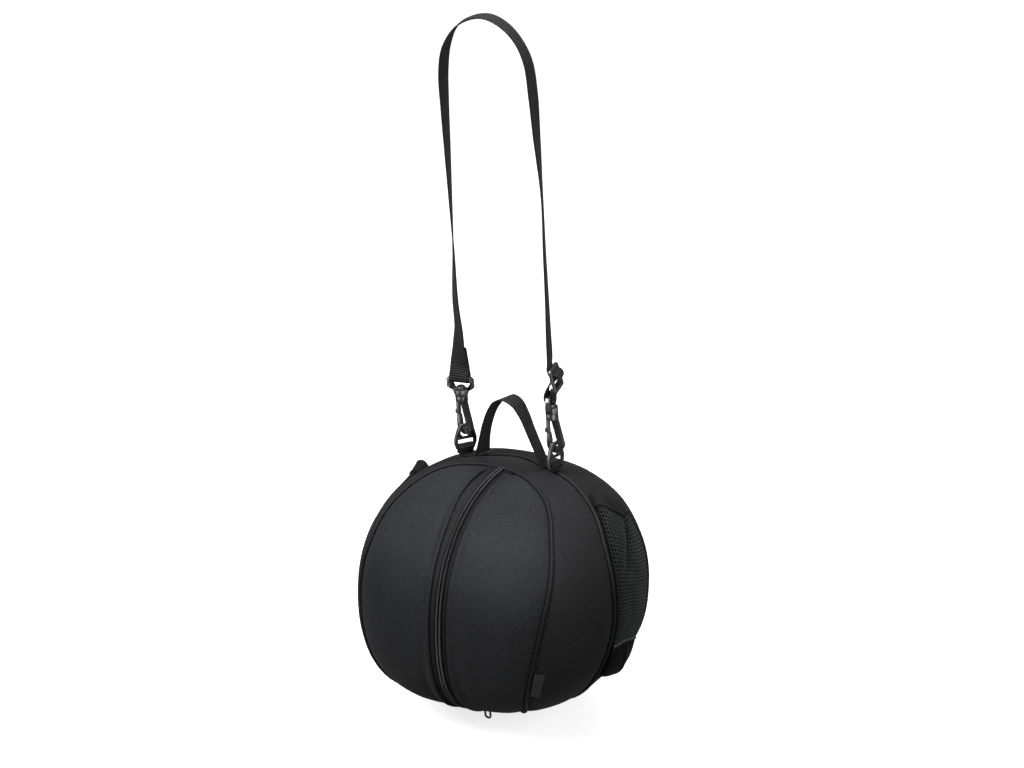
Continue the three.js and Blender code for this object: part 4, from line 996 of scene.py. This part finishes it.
def smooth_line(rows, steps):
    """A centripetal curve through rows, sampled in equal steps of its rows."""
    rows = np.asarray(rows, dtype=float)
    ends = np.concatenate([[2 * rows[0] - rows[1]], rows, [2 * rows[-1] - rows[-2]]])
    sampled = []
    for u in np.linspace(0, len(rows) - 1, steps + 1):
        k = min(int(u), len(rows) - 2)
        p0, p1, p2, p3 = ends[k:k + 4]
        pairs = ((p0, p1), (p1, p2), (p2, p3))
        d0, d1, d2 = (max(np.linalg.norm(b[:3] - a[:3]) ** 0.5, 1e-4) for a, b in pairs)
        t1 = ((p1 - p0) / d0 - (p2 - p0) / (d0 + d1) + (p2 - p1) / d1) * d1
        t2 = ((p2 - p1) / d1 - (p3 - p1) / (d1 + d2) + (p3 - p2) / d2) * d1
        f = u - k
        leaving = (2 * f**3 - 3 * f**2 + 1) * p1 + (f**3 - 2 * f**2 + f) * t1
        sampled.append(leaving + (3 * f**2 - 2 * f**3) * p2 + (f**3 - f**2) * t2)
    return np.array(sampled)


def ribbon(name, line, widths, half, thick, finish):
    """A flat ribbon with rounded edges along a line, its width turned along the given directions."""
    ahead = np.gradient(line, axis=0)
    ahead /= np.linalg.norm(ahead, axis=-1, keepdims=True)
    across = widths - ahead * np.sum(widths * ahead, -1, keepdims=True)
    across /= np.linalg.norm(across, axis=-1, keepdims=True)
    face = np.cross(ahead, across)
    columns = RIBBON_ACROSS * half
    curve = RIBBON_SWELL * thick / 2
    middle = line[:, None] + across[:, None] * columns[None, :, None]
    offset = face[:, None] * curve[None, :, None]
    piece = wall(name, middle + offset, middle - offset, finish)
    return piece, across, face


print("webbing:", 2 * WEBBING_HALF, "mm wide,", WEBBING_THICK, "mm thick")

# %% Handle
HANDLE_STEPS = 120
HANDLE = [
    (-35, 23, 121.8, 72), (-31.5, 20.5, 138, 83), (-26, 17, 157, 85), (-19, 14.5, 174, 82),
    (-10, 12.5, 186.5, 75), (0, 11.5, 191, 76), (9, 12.5, 187, 85), (16, 14.5, 175, 92),
    (22.5, 17, 157, 96), (29, 20.5, 138, 97), (35, 23, 121.8, 97),
]
rows = smooth_line(HANDLE, HANDLE_STEPS)
handle, _, _ = ribbon(
    "handle_webbing", rows[:, :3], compass(rows[:, 3]), WEBBING_HALF, WEBBING_THICK, webbing)
settle(handle, "webbing", "handle", held="hung")
print("handle length:", round(float(run_length(rows[:, :3])[-1]), 1), "mm")

# %% Tabs
RING_BACK, TAB_BAR, TAB_WRAP, TAB_MEET = 23.0, 124.65, 3.45, 1.75
TAB_HALF, TAB_THICK, TAB_FOOT_DOWN, TAB_FOOT_LIFT = 8.0, 1.4, 8.0, 2.4
TAB_ARCH_STEPS, TAB_LEG_STEPS = 25, 6
SIDES = {
    "left": {"across": -54.0, "lean": -1.8, "ring": 54.0, "hook": -10.0, "loop": 185.0},
    "right": {"across": 46.0, "lean": -2.0, "ring": 77.0, "hook": 3.0, "loop": 103.0},
}
for word, side in SIDES.items():
    level = compass(side["ring"])
    normal = compass(side["ring"] - 90)
    place = np.array([side["across"], RING_BACK, 0.0])
    near = place + UP * (TAB_BAR - TAB_FOOT_DOWN)
    foot = on_body(near, TAB_FOOT_LIFT)[2]
    spin = np.linspace(0, math.pi, TAB_ARCH_STEPS)
    arch = place + normal * (TAB_WRAP * np.cos(spin))[:, None]
    arch = arch + UP * (TAB_BAR + TAB_WRAP * np.sin(spin))[:, None]
    front, rear = (place + normal * way * TAB_MEET + UP * foot for way in (1, -1))
    up = np.linspace(0, 1, TAB_LEG_STEPS, endpoint=False)[:, None]
    line = np.concatenate([front + (arch[0] - front) * up, arch, (rear + (arch[-1] - rear) * up)[::-1]])
    sloped = on_body(near + level * TAB_HALF, 0.0) - on_body(near - level * TAB_HALF, 0.0)
    sloped /= np.linalg.norm(sloped)
    rise = np.clip((line[:, 2] - foot) / (TAB_BAR - foot), 0, 1)[:, None]
    widths = sloped * (1 - rise) + level * rise
    tab, _, _ = ribbon(f"tab_{word}_webbing", line, widths, TAB_HALF, TAB_THICK, webbing)
    settle(tab, "webbing", f"tab_{word}", held="folded")

# %% Bars that the strap goes round
HOOK_SEAT, BEND_ACROSS, BAR_UP = 144.1, 1.2, 55.4
LEAN_FORWARD, LEAN_RUN = -5.0, 55.5
bar_at, bar_way = {}, {}
for word, side in SIDES.items():
    lean = np.array([side["lean"], LEAN_FORWARD, LEAN_RUN])
    lean /= np.linalg.norm(lean)
    seat = np.array([side["across"], RING_BACK, HOOK_SEAT]) - compass(side["hook"]) * BEND_ACROSS
    bar_at[word] = seat + lean * BAR_UP
    flat = compass(side["loop"])
    square = flat - lean * flat.dot(lean)
    bar_way[word] = square / np.linalg.norm(square)
print("loops' bars at", {word: bar.round(1).tolist() for word, bar in bar_at.items()})

# %% Strap line
# Each row of STRAP is a place across, a height and the compass turn of the width. Rows of SEWN_END, DOWN and
# RETURN are a place out from the loop's bar and a height over it.
STRAP = [
    (-55.8, 250, 142), (-58, 282, 134), (-57.5, 334, 122), (-58.2, 385, 113), (-59, 436, 104),
    (-59.7, 480, 97), (-59.4, 513, 92), (-55.2, 537, 94), (-45, 555.5, 104), (-28.5, 566.5, 100),
    (-12, 569.75, 96), (4, 564.5, 97), (18.5, 552, 99), (29, 532, 95), (33.5, 500, 93), (35.8, 464, 99),
    (39.5, 405, 114), (40.4, 350, 112), (41.6, 299, 109), (42.2, 262, 105),
]
SEWN_END = [(0.95, 34), (0.95, 23), (0.95, 13), (1.7, 9), (3.3, 4.5)]
DOWN = [
    (-1.2, 36), (-1.4, 30), (-0.6, 27.6), (0.3, 25), (3.4, 25), (7.6, 24.4), (10.1, 20.6), (9.4, 17),
    (6.6, 13.9), (4.5, 11.2), (4.8, 8.4), (4.5, 4),
]
RETURN = [(-4, 4), (-1.4, 11), (1.9, 16.6), (2, 19.9), (3.2, 21.8), (6.2, 22.2), (7.9, 20.2)]
SEWN_TURN, SEWN_FROM, SEWN_RUN = 152.0, 9.0, 25.0
BACK_LOW, BACK_HIGH, STRAP_LOW, STRAP_HIGH = 24.0, -8.0, 117.0, 569.0
STRAP_STEPS, WRAP, WRAP_ROWS = 560, 4.05, 9


def strap_rows():
    """The strap's rows from its sewn left end to its right end: place and width direction."""
    rows = []
    left_turn, right_turn = SIDES["left"]["loop"], SIDES["right"]["loop"]

    def sewn_turn(height):
        f = min(max((height - SEWN_FROM) / SEWN_RUN, 0), 1)
        return left_turn + (SEWN_TURN - left_turn) * f * f * (3 - 2 * f)

    def beside(word, turn, out, height, width):
        rows.append(np.concatenate([bar_at[word] + compass(turn - 90) * out + UP * height, width]))

    def wrapped(word):
        for spin in np.linspace(0, -math.pi, WRAP_ROWS):
            beside(word, SIDES[word]["loop"], WRAP * math.cos(spin), WRAP * math.sin(spin), bar_way[word])

    for out, height in SEWN_END:
        beside("left", sewn_turn(height), out, height, compass(sewn_turn(height)))
    wrapped("left")
    for out, height in SEWN_END[::-1]:
        beside("left", sewn_turn(height), -out, height, compass(sewn_turn(height)))
    for x, height, turn in STRAP:
        back = BACK_LOW + (BACK_HIGH - BACK_LOW) * (height - STRAP_LOW) / (STRAP_HIGH - STRAP_LOW)
        rows.append(np.concatenate([[x, back, height], compass(turn)]))
    for out, height in DOWN:
        beside("right", right_turn, out, height, bar_way["right"])
    wrapped("right")
    for out, height in RETURN:
        beside("right", right_turn, out, height, bar_way["right"])
    return np.array(rows)


rows = smooth_line(strap_rows(), STRAP_STEPS)
strap, across, face = ribbon("strap_webbing", rows[:, :3], rows[:, 3:], WEBBING_HALF, WEBBING_THICK, webbing)
settle(strap, "webbing", "strap", held="hung")
print("strap length:", round(float(run_length(rows[:, :3])[-1]) * MM, 3), "m")

# %% [markdown]
# ## Box stitches on the webbing
# The strap's sewn end carries a box of stitches with a cross in it. Its line is laid on the ribbon's outer
# face, once round the box and then over both diagonals, and is sewn by the same tree as the zip's.

# %% Box stitches
BOX_START, BOX_HALF, BOX_BOTTOM_UP, BOX_LIFT = 0.004, 7, 14, 0.15
BOX_STITCH_PITCH, BOX_STITCH, SPOT_STEPS = 3.4, (0.8, 2.6, 0.6), 12


def on_ribbon(line, across, face, spots):
    """A stitch line on a ribbon's face: each spot is a place along from 0 to 1 and a place across in mm."""
    points, outs = [], []
    for (a0, w0), (a1, w1) in zip(spots, spots[1:]):
        for f in np.linspace(0, 1, SPOT_STEPS, endpoint=False):
            k = int(round((a0 + (a1 - a0) * f) * (len(line) - 1)))
            out = WEBBING_THICK / 2 + BOX_LIFT
            points.append(line[k] + across[k] * (w0 + (w1 - w0) * f) + face[k] * out)
            outs.append(face[k])
    return np.array(points), np.array(outs)


box_floor = bar_at["left"][2] + BOX_BOTTOM_UP
box_end = next(k for k in range(len(rows)) if rows[k, 2] < box_floor) / (len(rows) - 1)
corners = [(along, across_at) for along in (BOX_START, box_end) for across_at in (-BOX_HALF, BOX_HALF)]
box = [corners[k] for k in (0, 1, 3, 2, 0, 3, 2, 1)]
lines = [on_ribbon(rows[:, :3], across, face, box)]
box_stitches = sewn("strap_stitches", lines, BOX_STITCH_PITCH, BOX_STITCH, thread)
settle(box_stitches, "webbing")

# %% [markdown]
# ## Moulded fittings, slider and pull
# The solids of the hooks, rings, loops, adjuster, slider and pull have the right shape but hard edges. A
# moulding has a small radius on every edge, which is what catches the light. A copy of each solid is merged,
# its flat triangles are joined, and a bevel rounds the edges.

# %% Moulded fittings
MERGE_WITHIN, FLAT_WITHIN, ROUND_OVER, SMOOTH_UNDER, ROUND_STEPS = 2e-5, 2.0, 25.0, 35.0, 3
mouldings = bpy.data.collections.new("mouldings")


def rounded(node, radius_mm, finish, slot, body):
    """A copy of a solid with rounded edges, standing for it."""
    shape = bmesh.new()
    shape.from_mesh(frame["nodes"][node].data)
    bmesh.ops.remove_doubles(shape, verts=shape.verts, dist=MERGE_WITHIN)
    flat = math.radians(FLAT_WITHIN)
    bmesh.ops.dissolve_limit(shape, angle_limit=flat, verts=shape.verts, edges=shape.edges)
    mesh = bpy.data.meshes.new(f"{node}_moulding")
    shape.to_mesh(mesh)
    shape.free()
    source = placed(f"{node}_source", mesh)
    edge = source.modifiers.new("edge", "BEVEL")
    edge.width, edge.segments = radius_mm * MM, ROUND_STEPS
    edge.limit_method, edge.angle_limit = "ANGLE", math.radians(ROUND_OVER)
    finished = kept_mesh(f"{node}_moulding", source)
    finished.shade_smooth()
    finished.set_sharp_from_angle(angle=math.radians(SMOOTH_UNDER))
    finished.materials.clear()
    finished.materials.append(finish)
    piece = placed(f"{node}_moulding", finished)
    mouldings.objects.link(piece)
    settle(piece, slot, node, body=body)


for word in ("left", "right"):
    rounded(f"ring_{word}", 0.5, acetal, "moulded_plastic", "root")
    rounded(f"loop_{word}", 0.5, acetal, "moulded_plastic", "root")
    rounded(f"hook_{word}", 0.6, acetal, "moulded_plastic", f"hook_{word}")
    rounded(f"gate_{word}", 0.4, acetal, "moulded_plastic", f"gate_{word}")
rounded("adjuster", 0.5, acetal, "moulded_plastic", "root")
rounded("zip_slider", 0.25, enamel, "painted_metal", "root")
rounded("zip_pull", 0.3, enamel, "painted_metal", "zip_pull")

# %% [markdown]
# ## The label
# A small folded tab of satin sewn into the front seam. It is left blank. Its free edge lifts a little from
# the band, so a thin wall with a curl makes it: a flat plane would have no edge to catch the light.

# %% Label
LABEL_TOP, LABEL_BOTTOM, LABEL_ROWS = -20.0, -37.0, 25
LABEL_NEAR, LABEL_FAR, LABEL_COLUMNS = 1.2, 5.4, 11
LABEL_LIFT, LABEL_CURL, LABEL_WAVE, LABEL_THICK, CURL_RUN = 0.35, 0.5, 0.15, 0.8, 5
turns = np.linspace(LABEL_TOP, LABEL_BOTTOM, LABEL_ROWS)[:, None]
offs = np.linspace(LABEL_NEAR, LABEL_FAR, LABEL_COLUMNS)[None]
towards = direction(seam_angle("front", turns) + offs, turns + 0 * offs)
free = (offs - LABEL_NEAR) / CURL_RUN
curl = LABEL_LIFT + LABEL_CURL * free ** 2 + LABEL_WAVE * np.sin(turns * 0.5) * free
label = wall("label_tab", on_body(towards, curl + LABEL_THICK), on_body(towards, curl), label_satin)
settle(label, "label_cloth", "label", held="laid")

# %% [markdown]
# ## Floor and light
# A pale studio floor lies just under the bag, with pale walls far off. A large soft lamp above and to the
# left of the camera lights the front panels, a weaker one fills from the right, one hangs above the back,
# and a pale sky lifts the shadows. Two low cards stand for the floor's shine in the mouldings, and light
# nothing else.

# %% Floor
FLOOR_HALF, FLOOR_DROP, FLOOR_GLOW = 12.0, 0.001, 0.75
WHITE = (1.0, 1.0, 1.0, 1.0)
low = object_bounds()[0][2]
floor_mesh = bpy.data.meshes.new("studio_floor")
corners = [(x * FLOOR_HALF, y * FLOOR_HALF) for x, y in ((-1, -1), (1, -1), (1, 1), (-1, 1))]
levels = (low - FLOOR_DROP, low + FLOOR_HALF)
sides = [(i, i + 4, (i + 1) % 4 + 4, (i + 1) % 4) for i in range(4)]
floor_mesh.from_pydata([(x, y, z) for z in levels for x, y in corners], [], [(0, 1, 2, 3), *sides])
floor = placed("studio_floor", floor_mesh)
paper, tree, shader = new_finish("matt_paper_floor", 0.9)
shader.inputs["Base Color"].default_value = linear("#f4f4f4")
shader.inputs["Emission Color"].default_value = WHITE
shader.inputs["Emission Strength"].default_value = FLOOR_GLOW
floor_mesh.materials.append(paper)
floor.visible_diffuse = False
floor.visible_glossy = False
print("floor at", round(low, 4), "m")

# %% Sky and lamps
SKY_STRENGTH, CARD_SIZE, CARD_POWER = 0.12, 0.9, 5.0
bpy.context.scene.view_settings.view_transform = "Standard"
world = bpy.data.worlds.new("pale_sky")
bpy.context.scene.world = world
world.use_nodes = True
sky = world.node_tree.nodes["Background"]
sky.inputs["Color"].default_value = WHITE
sky.inputs["Strength"].default_value = SKY_STRENGTH


def soft_lamp(name, place, aim, size, power):
    """A square area lamp at a place, turned to a point, in metres and watts."""
    data = bpy.data.lights.new(name, "AREA")
    data.shape, data.size, data.energy = "SQUARE", size, power
    lamp = placed(name, data)
    lamp.location = place
    way = np.array(aim) - np.array(place)
    tilt = math.acos(-way[2] / np.linalg.norm(way))
    lamp.rotation_euler = (tilt, 0.0, math.atan2(way[1], way[0]) - math.pi / 2)
    return lamp


middle = (BAG * MM).tolist()
soft_lamp("key_lamp", (-1.0, -1.9, 1.9), middle, 1.6, 80.0)
soft_lamp("fill_lamp", (2.2, -1.2, 0.9), middle, 1.5, 26.0)
soft_lamp("top_lamp", (0.2, 0.6, 1.9), middle, 1.8, 40.0)
hooks = [0.0, 0.03, -0.4]
for name, place in (("left_card", (-0.7, -1.0, -0.6)), ("right_card", (0.9, -0.5, -0.6))):
    card = soft_lamp(name, place, hooks, CARD_SIZE, CARD_POWER)
    card.light_linking.receiver_collection = mouldings
